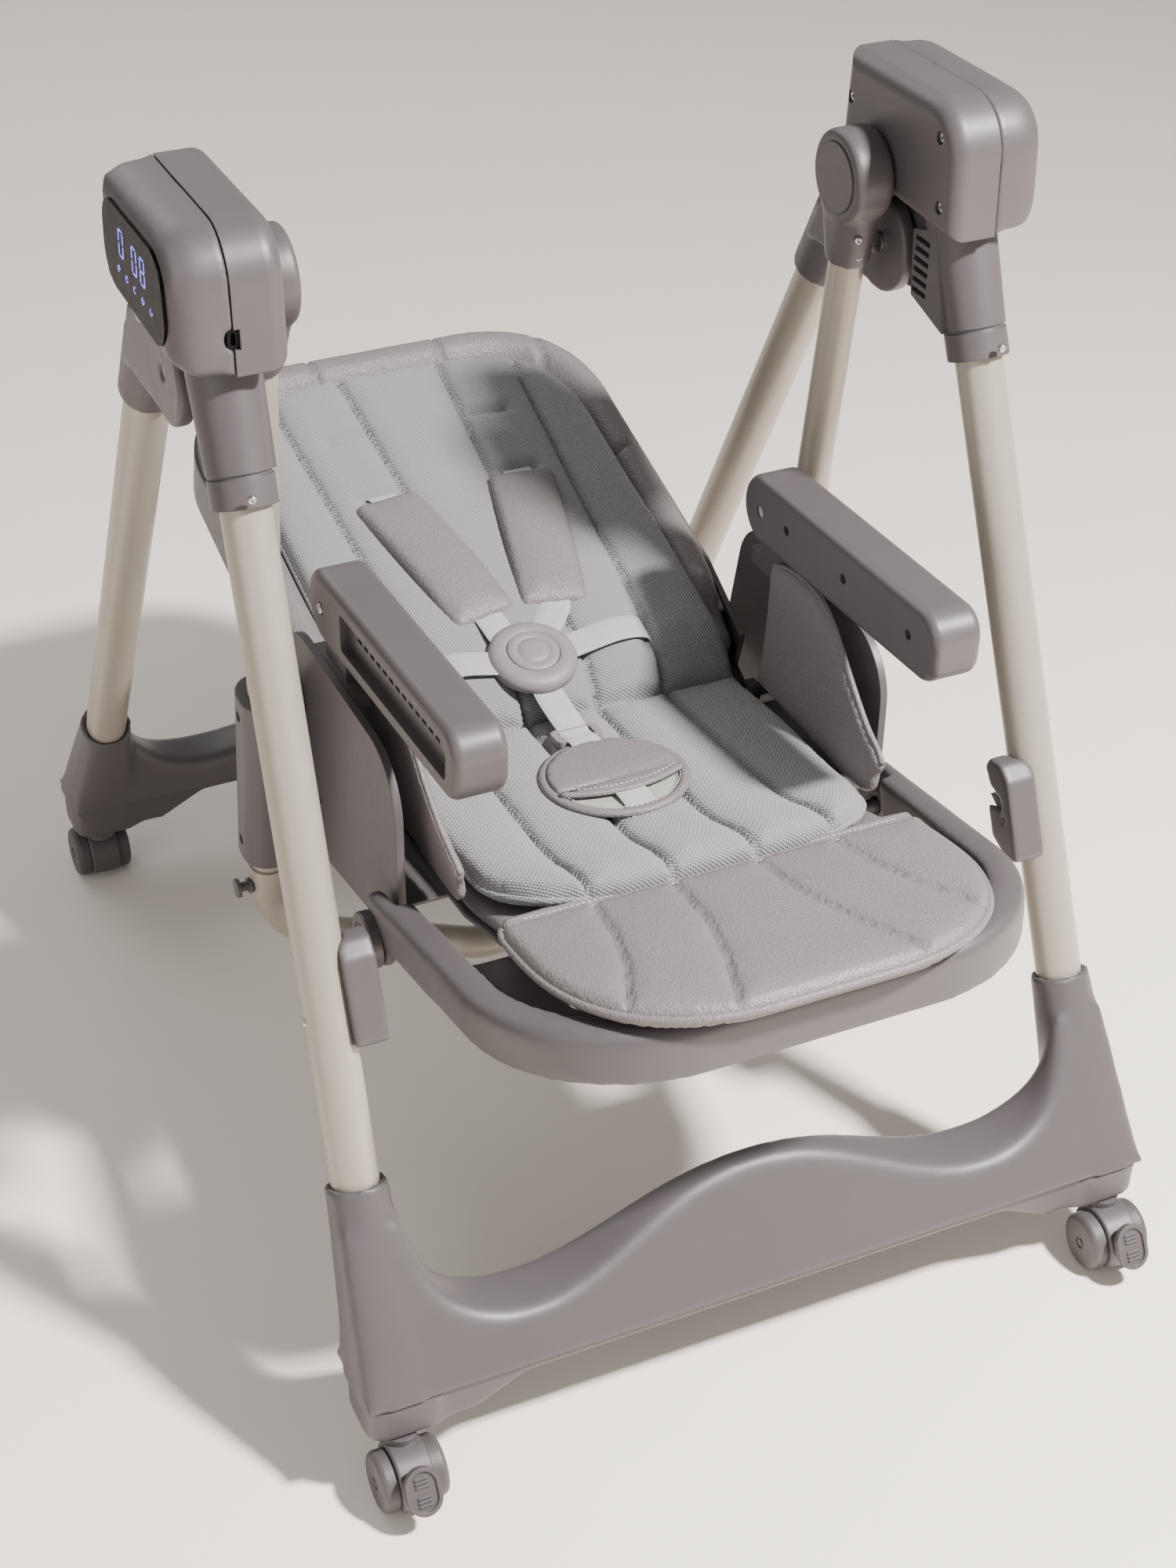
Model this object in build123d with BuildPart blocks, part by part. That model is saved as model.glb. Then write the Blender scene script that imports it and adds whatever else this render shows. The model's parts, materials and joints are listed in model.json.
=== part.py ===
from build123d import *
import os
from math import sin, cos, radians

# Electric baby swing: standing A-frame, two drive hubs, hanging seat with reclining back,
# footrest, armrests, harness and four braked casters.  Millimetres, +Z up, seat faces -Y.
# Left is -X, right is +X.  Origin on the floor under the middle of the frame's footprint.

os.makedirs("parts", exist_ok=True)

# ---------------------------------------------------------------- driving dimensions
LEG_R = 17.5                              # frame legs, 35 mm tube
LEG_WALL = 1.5
FRONT_TOP = Vector(279.8, -117.0, 658.1)  # front leg axis at the collar of the hub socket
FRONT_LOW = Vector(289.7, -302.2, 216.8)  # front leg axis at the rim of the base socket
REAR_TOP = Vector(277.5, 116.0, 633.0)    # rear leg axis at its upper collar
REAR_LOW = Vector(284.4, 351.6, 194.1)    # rear leg axis at the rim of the base socket
FIT = 0.05                                # radial clearance of a pin or tube in its hole

SWING_Y, SWING_Z = -14.0, 768.0           # swing axis (parallel to X)
FOLD_Y, FOLD_Z = -11.0, 710.0             # fold pivot of the rear frame
ARM_X = 230.0                             # swing arm tube, centre
ARM_R = 13.5
ARM_LEAN = 8.0                            # arms lean back by this angle
ARM_LOW = 547.0                           # arm length from the swing axis to the lower tube

HUB_IN, HUB_SPLIT, HUB_OUT = 242.0, 280.0, 320.0
HUB_SCREWS = ((28, 809), (-97, 823), (-103, 774))
BASE_SEAM = 88.0                          # parting line between base moulding and its cover
BASE_UNDER = 56.0                         # underside of the cover at the casters
FRONT_CASTER = (295.5, -391.0)
REAR_CASTER = (291.4, 394.0)
WHEEL_R = 23.0
CASTER_TRAIL = 13.0

RECLINE_Y, RECLINE_Z = 8.0, 318.0         # hinge of the backrest
BACK_ANGLE = 15.3                         # backrest slope when fully reclined
REST_Y, REST_Z = -152.0, 300.0            # hinge of the footrest
REST_ANGLE = 11.5                         # footrest slope, rising to the front
ARMREST_Y, ARMREST_Z = -19.0, 504.0       # armrest pivot
SHELL_X = 200.0                           # outer face of the seat shell's side walls
SHELL_WALL = 6.0
BUCKLE_AT = (-12, 36)                     # buckle centre on the backrest's plane
BUCKLE_R = 36.0

front_dir = (FRONT_TOP - FRONT_LOW).normalized()
rear_dir = (REAR_TOP - REAR_LOW).normalized()
arm_dir = Vector(0, sin(radians(ARM_LEAN)), -cos(radians(ARM_LEAN)))
swing_axis = Vector(ARM_X, SWING_Y, SWING_Z)
front_plane = Plane(origin=FRONT_LOW, z_dir=front_dir)
hub_plane = Plane(origin=FRONT_TOP, z_dir=front_dir)
rear_plane = Plane(origin=REAR_LOW, z_dir=rear_dir)
rear_top_plane = Plane(origin=REAR_TOP, z_dir=rear_dir)
arm_plane = Plane(origin=swing_axis, x_dir=(1, 0, 0), z_dir=arm_dir)
back_plane = Plane(origin=(0, 10, 312), x_dir=(1, 0, 0),
                   z_dir=(0, -sin(radians(BACK_ANGLE)), cos(radians(BACK_ANGLE))))
rest_plane = Plane(origin=(0, REST_Y, REST_Z), x_dir=(-1, 0, 0),
                   z_dir=(0, sin(radians(REST_ANGLE)), cos(radians(REST_ANGLE))))


def side_plane(x):
    """Plane parallel to YZ at x, sketch axes Y and Z, normal +X."""
    return Plane.YZ.offset(x)


def save(piece, name):
    piece.part.label = name
    export_step(piece.part, f"parts/{name}.step")


# ================================================================ standing frame
# Two straight front leg tubes.
with BuildPart() as front_legs:
    with BuildSketch(front_plane.offset(-62)):
        Circle(LEG_R)
        Circle(LEG_R - LEG_WALL, mode=Mode.SUBTRACT)
    extrude(amount=(FRONT_TOP - FRONT_LOW).length + 62 + 60)
    mirror(about=Plane.YZ)
save(front_legs, "front_legs")

# Upper leg sockets: collar, groove, flared body, pivot ear and louvred web.
with BuildPart() as front_leg_sockets:
    with BuildSketch(hub_plane):
        Circle(22.8)
    extrude(amount=20)
    with BuildSketch(hub_plane.offset(20)):
        Circle(21.4)
    extrude(amount=2.5)
    with BuildSketch(hub_plane.offset(22.5)):
        Circle(22.8)
    extrude(amount=92, taper=-1.8)
    with BuildSketch(side_plane(266)):
        Polygon((-104, 688), (-82, 745), (-11, 740), (-11, 680), align=None)
        with Locations((FOLD_Y, FOLD_Z)):
            Circle(30)
    extrude(amount=20)
    with BuildSketch(side_plane(253)):
        Polygon((-106, 676), (-60, 688), (-56, 738), (-86, 748), align=None)
    extrude(amount=7)
    with BuildSketch(side_plane(252)):
        with Locations(*[(-70, 694 + 8 * i) for i in range(6)]):
            Rectangle(20, 4)
    extrude(amount=6, mode=Mode.SUBTRACT)
    with BuildSketch(side_plane(250)):
        with Locations((FOLD_Y, FOLD_Z)):
            Circle(5 + FIT)
    extrude(amount=60, mode=Mode.SUBTRACT)
    with BuildSketch(hub_plane.offset(-1)):
        Circle(LEG_R + FIT)
    extrude(amount=62, mode=Mode.SUBTRACT)
    mirror(about=Plane.YZ)
save(front_leg_sockets, "front_leg_sockets")


# Front base: hollow wave-shaped cross member, front face sloping with the legs, and a socket
# for each front leg.
with BuildPart() as front_base:
    with BuildSketch(Plane.XZ.offset(333)):
        with BuildLine():
            Spline((0, 171), (100, 147), (196, 123), (243, 142), (266, 200), tangents=((1, 0), (0.1, 1)))
            Polyline((266, 200), (313, 200), (322, BASE_SEAM), (0, BASE_SEAM), (0, 171))
        make_face()
    extrude(amount=72)
    with BuildSketch(side_plane(-330)):
        Polygon((-403, BASE_SEAM), (-336, 200), (-336, 210), (-410, 210), (-410, BASE_SEAM - 4), align=None)
    extrude(amount=660, mode=Mode.SUBTRACT)
    with BuildSketch(front_plane):
        RectangleRounded(44, 44, 21)
    with BuildSketch(Plane.XY.offset(BASE_SEAM)):
        with Locations((293, -372)):
            RectangleRounded(62, 64, 20)
    loft()
    with BuildSketch(Plane.XZ.offset(338)):
        with BuildLine():
            Spline((0, 162), (100, 139), (196, 114), (236, 120), (250, 140), tangents=((1, 0), (0.3, 1)))
            Polyline((250, 140), (250, BASE_SEAM - 1), (0, BASE_SEAM - 1), (0, 162))
        make_face()
    extrude(amount=12, mode=Mode.SUBTRACT)
    with BuildSketch(Plane.XZ.offset(349)):
        with BuildLine():
            Spline((0, 138), (100, 128), (196, 110), (230, 110), tangents=((1, 0), (1, 0)))
            Polyline((230, 110), (240, BASE_SEAM - 1), (0, BASE_SEAM - 1), (0, 138))
        make_face()
    extrude(amount=19, mode=Mode.SUBTRACT)
    with BuildSketch(front_plane.offset(-66)):
        Circle(LEG_R + FIT)
    extrude(amount=80, mode=Mode.SUBTRACT)
    mirror(about=Plane.YZ)
save(front_base, "front_base")

# Front base cover: shallow skirt, deeper at the two feet, bored for the caster stems.
with BuildPart() as front_base_cover:
    with BuildSketch(Plane.XZ.offset(343)):
        Polygon((0, BASE_SEAM - 0.3), (318, BASE_SEAM - 0.3), (316, 60), (240, 58), (200, 78), (0, 79),
                align=None)
    extrude(amount=55)
    with BuildSketch(Plane.XY.offset(BASE_UNDER)):
        with Locations((289, -372)):
            RectangleRounded(64, 58, 16)
    extrude(amount=BASE_SEAM - BASE_UNDER - 0.3)
    with BuildSketch(Plane.XY.offset(BASE_UNDER - 1)):
        with Locations(FRONT_CASTER):
            Circle(5.5 + FIT)
    extrude(amount=26, mode=Mode.SUBTRACT)
    mirror(about=Plane.YZ)
save(front_base_cover, "front_base_cover")

# Hub housings: two moulded halves on each side, meeting at HUB_SPLIT.
with BuildPart() as hub_inner_shells:
    with BuildSketch(side_plane(HUB_IN)) as hub_outline:
        Polygon((-121, 753), (-117, 848), (38, 843), (44, 755), align=None)
        hub_corners = hub_outline.vertices().sort_by(Axis.Y)
        fillet(hub_corners[-1], 37)
        fillet(hub_corners[:3], 26)
    extrude(amount=HUB_SPLIT - 0.2 - HUB_IN)
    fillet(hub_inner_shells.faces().sort_by(Axis.X)[0].edges(), 13)
    with BuildSketch(side_plane(HUB_IN + 4)):
        add(hub_outline.sketch_local)
        offset(amount=-7, mode=Mode.REPLACE)
    extrude(amount=10, mode=Mode.SUBTRACT)
    with BuildSketch(side_plane(HUB_IN + 12)):
        add(hub_outline.sketch_local)
        offset(amount=-3, mode=Mode.REPLACE)
    extrude(amount=60, mode=Mode.SUBTRACT)
    with BuildSketch(side_plane(HUB_IN + 3)):
        with Locations((SWING_Y, SWING_Z)):
            Circle(20)
        with Locations(*HUB_SCREWS):
            Circle(7)
    extrude(amount=13)
    with BuildSketch(side_plane(HUB_IN - 1)):
        with Locations((SWING_Y, SWING_Z)):
            Circle(16)
    extrude(amount=40, mode=Mode.SUBTRACT)
    with BuildSketch(side_plane(HUB_IN - 1)):
        with Locations(*HUB_SCREWS):
            Circle(4.8)
    extrude(amount=5, mode=Mode.SUBTRACT)
    with BuildSketch(side_plane(HUB_IN)):
        with Locations(*HUB_SCREWS):
            Circle(1.6)
    extrude(amount=20, mode=Mode.SUBTRACT)
    with BuildSketch(hub_plane.offset(50)):
        Circle(26.6)
    extrude(amount=90, mode=Mode.SUBTRACT)
    mirror(about=Plane.YZ)
    with BuildSketch(Plane.XY.offset(771)):
        with Locations((-HUB_SPLIT, -116)):
            Rectangle(8.4, 14)
    extrude(amount=14, mode=Mode.SUBTRACT)
save(hub_inner_shells, "hub_inner_shells")

with BuildPart() as hub_outer_shells:
    with BuildSketch(side_plane(HUB_OUT)):
        add(hub_outline.sketch_local)
    extrude(amount=HUB_SPLIT - HUB_OUT)
    fillet(hub_outer_shells.faces().sort_by(Axis.X)[-1].edges(), 20)
    with BuildSketch(side_plane(HUB_OUT - 5)):
        add(hub_outline.sketch_local)
        offset(amount=-13, mode=Mode.REPLACE)
    extrude(amount=-12, mode=Mode.SUBTRACT)
    with BuildSketch(side_plane(HUB_OUT - 16)):
        add(hub_outline.sketch_local)
        offset(amount=-5, mode=Mode.REPLACE)
    extrude(amount=-60, mode=Mode.SUBTRACT)
    with BuildSketch(side_plane(HUB_OUT - 4)):
        with Locations((SWING_Y, SWING_Z)):
            Circle(20)
    extrude(amount=-16)
    with BuildSketch(side_plane(HUB_OUT - 6)):
        with Locations((SWING_Y, SWING_Z)):
            Circle(16)
    extrude(amount=-20, mode=Mode.SUBTRACT)
    with BuildSketch(hub_plane.offset(50)):
        Circle(26.6)
    extrude(amount=90, mode=Mode.SUBTRACT)
    mirror(about=Plane.YZ)
    with BuildSketch(Plane.XY.offset(771)):
        with Locations((-HUB_SPLIT, -116)):
            Rectangle(8.4, 14)
    extrude(amount=14, mode=Mode.SUBTRACT)
    with BuildSketch(side_plane(-HUB_OUT)) as panel_outline:
        Polygon((-108, 767), (-105, 834), (25, 830), (31, 768), align=None)
        fillet(panel_outline.vertices(), 24)
    extrude(amount=2, mode=Mode.SUBTRACT)
save(hub_outer_shells, "hub_outer_shells")

# Glossy display panel let into the outer face of the left hub.
with BuildPart() as display_panel:
    with BuildSketch(side_plane(-HUB_OUT - 0.6)):
        add(panel_outline.sketch_local)
        offset(amount=-0.4, mode=Mode.REPLACE)
    extrude(amount=2.5)
save(display_panel, "display_panel")

# Control board behind the display, with its processor and connector.
with BuildPart() as control_board:
    with BuildSketch(side_plane(-314)):
        with Locations((-42, 806)):
            Rectangle(96, 34)
    extrude(amount=1.6)
    with BuildSketch(side_plane(-312.4)):
        with Locations((-58, 806)):
            Rectangle(14, 14)
        with Locations((-18, 808)):
            Rectangle(10, 6)
    extrude(amount=3)
save(control_board, "control_board")

# Power inlet on the parting line at the front of the left hub.
with BuildPart() as usb_port:
    with BuildSketch(Plane.XZ.offset(118)):
        with Locations((-HUB_SPLIT, 778)):
            RectangleRounded(8, 13.4, 3)
    extrude(amount=-9)
    with BuildSketch(Plane.XZ.offset(121)):
        with Locations((-HUB_SPLIT, 778)):
            RectangleRounded(3.2, 9, 1.5)
    extrude(amount=-8, mode=Mode.SUBTRACT)
save(usb_port, "usb_port")

# Electromagnetic drive coil, fixed in the left hub above the swing shaft.
with BuildPart() as drive_coil:
    with BuildSketch(side_plane(-283)):
        with Locations((SWING_Y, 803)):
            Circle(10)
            Circle(4, mode=Mode.SUBTRACT)
    extrude(amount=9)
save(drive_coil, "drive_coil")

# Ball bearings that carry the swing shafts, two in each hub.
with BuildPart() as hub_bearings:
    for bearing_x in (246, 303.9):
        with BuildSketch(side_plane(bearing_x)):
            with Locations((SWING_Y, SWING_Z)):
                Circle(16)
                Circle(8 + FIT, mode=Mode.SUBTRACT)
        extrude(amount=10)
    mirror(about=Plane.YZ)
save(hub_bearings, "hub_bearings")

# Screws: hub housings, leg sockets and base sockets.
with BuildPart() as frame_screws:
    for screw_at in HUB_SCREWS:
        with BuildSketch(side_plane(HUB_IN + 2)):
            with Locations(screw_at):
                Circle(3.4)
                RegularPolygon(1.4, 6, mode=Mode.SUBTRACT)
        extrude(amount=2)
        with BuildSketch(side_plane(HUB_IN + 4)):
            with Locations(screw_at):
                Circle(1.6)
        extrude(amount=10)
    mirror(about=Plane.YZ)
save(frame_screws, "frame_screws")

# Transport hooks clamped to the inner side of the front legs.
with BuildPart() as lock_hooks:
    with BuildSketch(side_plane(251)) as hook_outline:
        Polygon((-283, 318), (-270, 311), (-246, 320), (-236, 343), (-247, 349), (-254, 344), (-252, 356),
                (-236, 360), (-226, 372), (-230, 382), (-246, 385), (-258, 376), align=None)
        fillet(hook_outline.vertices(), 2.4)
    extrude(amount=26)
    with BuildSketch(side_plane(255)):
        Polygon((-272, 322), (-228, 332), (-228, 366), (-256, 366), align=None)
    extrude(amount=9, mode=Mode.SUBTRACT)
    with BuildSketch(front_plane.offset(60)):
        Circle(LEG_R + FIT)
    extrude(amount=180, mode=Mode.SUBTRACT)
    with BuildSketch(side_plane(250)):
        with Locations((-258, 342)):
            Circle(2 + FIT)
    extrude(amount=16, mode=Mode.SUBTRACT)
    mirror(about=Plane.YZ)
save(lock_hooks, "lock_hooks")

# Sprung latch levers inside the hooks, one body each.
for side, sign in (("left", -1), ("right", 1)):
    with BuildPart() as lock_lever:
        with BuildSketch(side_plane(256)):
            Polygon((-263, 338), (-258, 346), (-240, 352), (-232, 349), (-243, 343), (-252, 337), align=None)
        extrude(amount=7)
        with BuildSketch(side_plane(251)):
            with Locations((-258, 342)):
                Circle(2)
        extrude(amount=13)
        if sign < 0:
            mirror(about=Plane.YZ, mode=Mode.REPLACE)
    save(lock_lever, f"lock_lever_{side}")

# ================================================================ rear folding frame
with BuildPart() as rear_legs:
    with BuildSketch(rear_plane.offset(-62)):
        Circle(LEG_R)
        Circle(LEG_R - LEG_WALL, mode=Mode.SUBTRACT)
    extrude(amount=(REAR_TOP - REAR_LOW).length + 62 + 50)
    mirror(about=Plane.YZ)
save(rear_legs, "rear_legs")

# Rear leg sockets: collar and body round the tube, forked cheeks round the fold pivot.
with BuildPart() as rear_leg_sockets:
    with BuildSketch(rear_top_plane):
        Circle(22.8)
    extrude(amount=18)
    with BuildSketch(rear_top_plane.offset(18)):
        Circle(21.4)
    extrude(amount=2.5)
    with BuildSketch(rear_top_plane.offset(20.5)):
        Circle(22.8)
    extrude(amount=54)
    for cheek_x in (251.5, 288):
        with BuildSketch(side_plane(cheek_x)):
            with Locations((FOLD_Y, FOLD_Z)):
                Circle(38)
            Polygon((-3, 747), (70, 726), (98, 672), (-20, 674), align=None)
        extrude(amount=12)
    with BuildSketch(side_plane(263)):
        Polygon((36, 733), (70, 726), (98, 672), (36, 673), align=None)
    extrude(amount=26)
    with BuildSketch(side_plane(250)):
        with Locations((FOLD_Y, FOLD_Z)):
            Circle(5 + FIT)
    extrude(amount=60, mode=Mode.SUBTRACT)
    with BuildSketch(side_plane(298.5)):
        with Locations((FOLD_Y, FOLD_Z)):
            Circle(30)
            Circle(27, mode=Mode.SUBTRACT)
            Circle(19)
            Circle(16.5, mode=Mode.SUBTRACT)
    extrude(amount=3, mode=Mode.SUBTRACT)
    with BuildSketch(rear_top_plane.offset(-1)):
        Circle(LEG_R + FIT)
    extrude(amount=52, mode=Mode.SUBTRACT)
    mirror(about=Plane.YZ)
save(rear_leg_sockets, "rear_leg_sockets")

# Pivot bolts with hexagon-socket heads on the inner side.
with BuildPart() as pivot_bolts:
    with BuildSketch(side_plane(248.8)):
        with Locations((FOLD_Y, FOLD_Z)):
            Circle(9)
            RegularPolygon(4, 6, mode=Mode.SUBTRACT)
    extrude(amount=2.4)
    with BuildSketch(side_plane(250)):
        with Locations((FOLD_Y, FOLD_Z)):
            Circle(5)
    extrude(amount=48)
    mirror(about=Plane.YZ)
save(pivot_bolts, "pivot_bolts")

# Rear base: the same wave-shaped member at the back, its outer face sloping with the rear legs.
with BuildPart() as rear_base:
    with BuildSketch(Plane.XZ.offset(-435)):
        with BuildLine():
            Spline((0, 160), (100, 140), (196, 121), (240, 138), (261, 182), tangents=((1, 0), (0.1, 1)))
            Polyline((261, 182), (307, 182), (317, BASE_SEAM), (0, BASE_SEAM), (0, 160))
        make_face()
    extrude(amount=66)
    with BuildSketch(side_plane(-330)):
        Polygon((434, BASE_SEAM), (378, 182), (378, 190), (440, 200), (440, BASE_SEAM - 4), align=None)
    extrude(amount=660, mode=Mode.SUBTRACT)
    with BuildSketch(rear_plane):
        RectangleRounded(44, 44, 21)
    with BuildSketch(Plane.XY.offset(BASE_SEAM)):
        with Locations((288, 404)):
            RectangleRounded(62, 64, 20)
    loft()
    with BuildSketch(Plane.XZ.offset(-390)):
        with BuildLine():
            Spline((0, 151), (100, 132), (196, 113), (230, 117), (246, 136), tangents=((1, 0), (0.3, 1)))
            Polyline((246, 136), (246, BASE_SEAM - 1), (0, BASE_SEAM - 1), (0, 151))
        make_face()
    extrude(amount=15, mode=Mode.SUBTRACT)
    with BuildSketch(Plane.XZ.offset(-413)):
        with BuildLine():
            Spline((0, 113), (100, 111), (196, 107), (228, 107), tangents=((1, 0), (1, 0)))
            Polyline((228, 107), (236, BASE_SEAM - 1), (0, BASE_SEAM - 1), (0, 113))
        make_face()
    extrude(amount=24, mode=Mode.SUBTRACT)
    with BuildSketch(rear_plane.offset(-66)):
        Circle(LEG_R + FIT)
    extrude(amount=80, mode=Mode.SUBTRACT)
    mirror(about=Plane.YZ)
save(rear_base, "rear_base")

with BuildPart() as rear_base_cover:
    with BuildSketch(Plane.XZ.offset(-431)):
        Polygon((0, BASE_SEAM - 0.3), (313, BASE_SEAM - 0.3), (311, 60), (236, 58), (196, 78), (0, 79),
                align=None)
    extrude(amount=53)
    with BuildSketch(Plane.XY.offset(BASE_UNDER)):
        with Locations((285, 404)):
            RectangleRounded(62, 58, 16)
    extrude(amount=BASE_SEAM - BASE_UNDER - 0.3)
    with BuildSketch(Plane.XY.offset(BASE_UNDER - 1)):
        with Locations(REAR_CASTER):
            Circle(5.5 + FIT)
    extrude(amount=26, mode=Mode.SUBTRACT)
    mirror(about=Plane.YZ)
save(rear_base_cover, "rear_base_cover")

# ================================================================ casters
# One swivelling hood with its stem, one twin wheel on an axle and one brake pedal at each corner.
for corner, side, front in (("front_left", -1, 1), ("front_right", 1, 1),
                            ("rear_left", -1, -1), ("rear_right", 1, -1)):
    stem_x, stem_y = FRONT_CASTER if front > 0 else REAR_CASTER
    stem_x = stem_x * side
    axle_y = stem_y - front * CASTER_TRAIL
    with BuildPart() as caster_hood:
        with BuildSketch(side_plane(stem_x - 13)):
            with Locations((axle_y, WHEEL_R)):
                Circle(27)
            with Locations((axle_y, -4)):
                Rectangle(80, 30, mode=Mode.SUBTRACT)
        extrude(amount=26)
        fillet(caster_hood.edges().filter_by(GeomType.CIRCLE), 2)
        with BuildSketch(Plane.XY.offset(46.6)):
            with Locations((stem_x, stem_y)):
                Circle(12)
        extrude(amount=9)
        with BuildSketch(Plane.XY.offset(55)):
            with Locations((stem_x, stem_y)):
                Circle(5.5)
        extrude(amount=24)
        with BuildSketch(side_plane(stem_x - 14)):
            with Locations((axle_y, WHEEL_R)):
                Circle(4 + FIT)
        extrude(amount=28, mode=Mode.SUBTRACT)
        with BuildSketch(side_plane(stem_x - 4.3)):
            with Locations((axle_y - front * 24, 35)):
                Rectangle(24, 16)
        extrude(amount=8.6, mode=Mode.SUBTRACT)
        with BuildSketch(side_plane(stem_x - 7)):
            with Locations((axle_y - front * 19, 36)):
                Circle(2 + FIT)
        extrude(amount=14, mode=Mode.SUBTRACT)
    save(caster_hood, f"caster_hood_{corner}")

    with BuildPart() as caster_wheels:
        with BuildSketch(side_plane(stem_x - 25)):
            with Locations((axle_y, WHEEL_R)):
                Circle(4)
        extrude(amount=50)
        for wheel_x in (stem_x - 25, stem_x + 13.4):
            with BuildSketch(side_plane(wheel_x)):
                with Locations((axle_y, WHEEL_R)):
                    Circle(WHEEL_R)
            extrude(amount=11.6)
        rim_edges = caster_wheels.edges().filter_by(lambda e: e.geom_type == GeomType.CIRCLE and e.radius > 20)
        fillet(rim_edges.sort_by(Axis.X)[0], 5)
        rim_edges = caster_wheels.edges().filter_by(lambda e: e.geom_type == GeomType.CIRCLE and e.radius > 20)
        fillet(rim_edges.sort_by(Axis.X)[-1], 5)
        for wheel_x in (stem_x - 25, stem_x + 24):
            with BuildSketch(side_plane(wheel_x)):
                with Locations((axle_y, WHEEL_R)):
                    Circle(5)
                    Circle(3, mode=Mode.SUBTRACT)
            extrude(amount=1, mode=Mode.SUBTRACT)
    save(caster_wheels, f"caster_wheels_{corner}")

    pedal_plane = Plane(origin=(stem_x, axle_y - front * 29.5, 36.4), x_dir=(1, 0, 0),
                        z_dir=(0, -front * cos(radians(30)), sin(radians(30))))
    with BuildPart() as brake_pedal:
        with BuildSketch(pedal_plane):
            SlotOverall(36, 26, rotation=90)
        extrude(amount=5)
        with BuildSketch(pedal_plane.offset(3.4)):
            SlotOverall(30, 20, rotation=90)
        extrude(amount=3, mode=Mode.SUBTRACT)
        with BuildSketch(pedal_plane.offset(3.2)):
            with Locations(*[(0, v) for v in (-10, -7, -4, 4, 7, 10)]):
                SlotOverall(11, 1.5)
        extrude(amount=1.6)
        with BuildSketch(side_plane(stem_x - 4)):
            with Locations((axle_y - front * 24, 37)):
                Rectangle(14, 6)
        extrude(amount=8)
        with BuildSketch(side_plane(stem_x - 5.9)):
            with Locations((axle_y - front * 19, 36)):
                Circle(2)
        extrude(amount=11.8)
    save(brake_pedal, f"brake_pedal_{corner}")

# ================================================================ swing arms
# Round-capped elbows that hang the arms from the swing shafts.
with BuildPart() as swing_elbows:
    with BuildSketch(side_plane(209)):
        with Locations((SWING_Y, SWING_Z)):
            Circle(35)
    extrude(amount=31.5)
    with BuildSketch(arm_plane.offset(10)):
        with Locations((-5.5, 0)):
            RectangleRounded(31, 58, 13)
    with BuildSketch(arm_plane.offset(72)):
        RectangleRounded(33, 33, 16)
    loft()
    fillet(swing_elbows.edges().filter_by(lambda e: e.geom_type == GeomType.CIRCLE and e.radius > 30), 5)
    with BuildSketch(side_plane(208)):
        with Locations((SWING_Y, SWING_Z)):
            Circle(26)
    extrude(amount=3, mode=Mode.SUBTRACT)
    with BuildSketch(arm_plane.offset(30)):
        Circle(ARM_R + FIT)
    extrude(amount=50, mode=Mode.SUBTRACT)
    with BuildSketch(side_plane(218)):
        with Locations((SWING_Y, SWING_Z)):
            Circle(8 + FIT)
    extrude(amount=30, mode=Mode.SUBTRACT)
    mirror(about=Plane.YZ)
save(swing_elbows, "swing_elbows")

# Discs that close the inner faces of the elbows.
with BuildPart() as elbow_caps:
    with BuildSketch(side_plane(208.4)):
        with Locations((SWING_Y, SWING_Z)):
            Circle(25.8)
    extrude(amount=2.5)
    mirror(about=Plane.YZ)
save(elbow_caps, "elbow_caps")

# Steel swing shafts, carried in the hub bearings.
with BuildPart() as swing_shafts:
    with BuildSketch(side_plane(218.2)):
        with Locations((SWING_Y, SWING_Z)):
            Circle(8)
    extrude(amount=95.6)
    mirror(about=Plane.YZ)
save(swing_shafts, "swing_shafts")

# Lever with a permanent magnet that the coil in the left hub attracts and repels.
with BuildPart() as drive_magnet:
    with BuildSketch(side_plane(-269)):
        with Locations((SWING_Y, SWING_Z)):
            Circle(13)
        with Locations((SWING_Y, 785)):
            Rectangle(12, 30)
        with Locations((SWING_Y, SWING_Z)):
            Circle(8 + FIT, mode=Mode.SUBTRACT)
    extrude(amount=5)
    with BuildSketch(side_plane(-272)):
        with Locations((SWING_Y, 800)):
            Circle(8)
    extrude(amount=5)
save(drive_magnet, "drive_magnet")

# Straight swing arm tubes.
with BuildPart() as swing_arms:
    with BuildSketch(arm_plane.offset(31)):
        Circle(ARM_R)
        Circle(ARM_R - LEG_WALL, mode=Mode.SUBTRACT)
    extrude(amount=ARM_LOW - 31.5)
    mirror(about=Plane.YZ)
save(swing_arms, "swing_arms")

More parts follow.
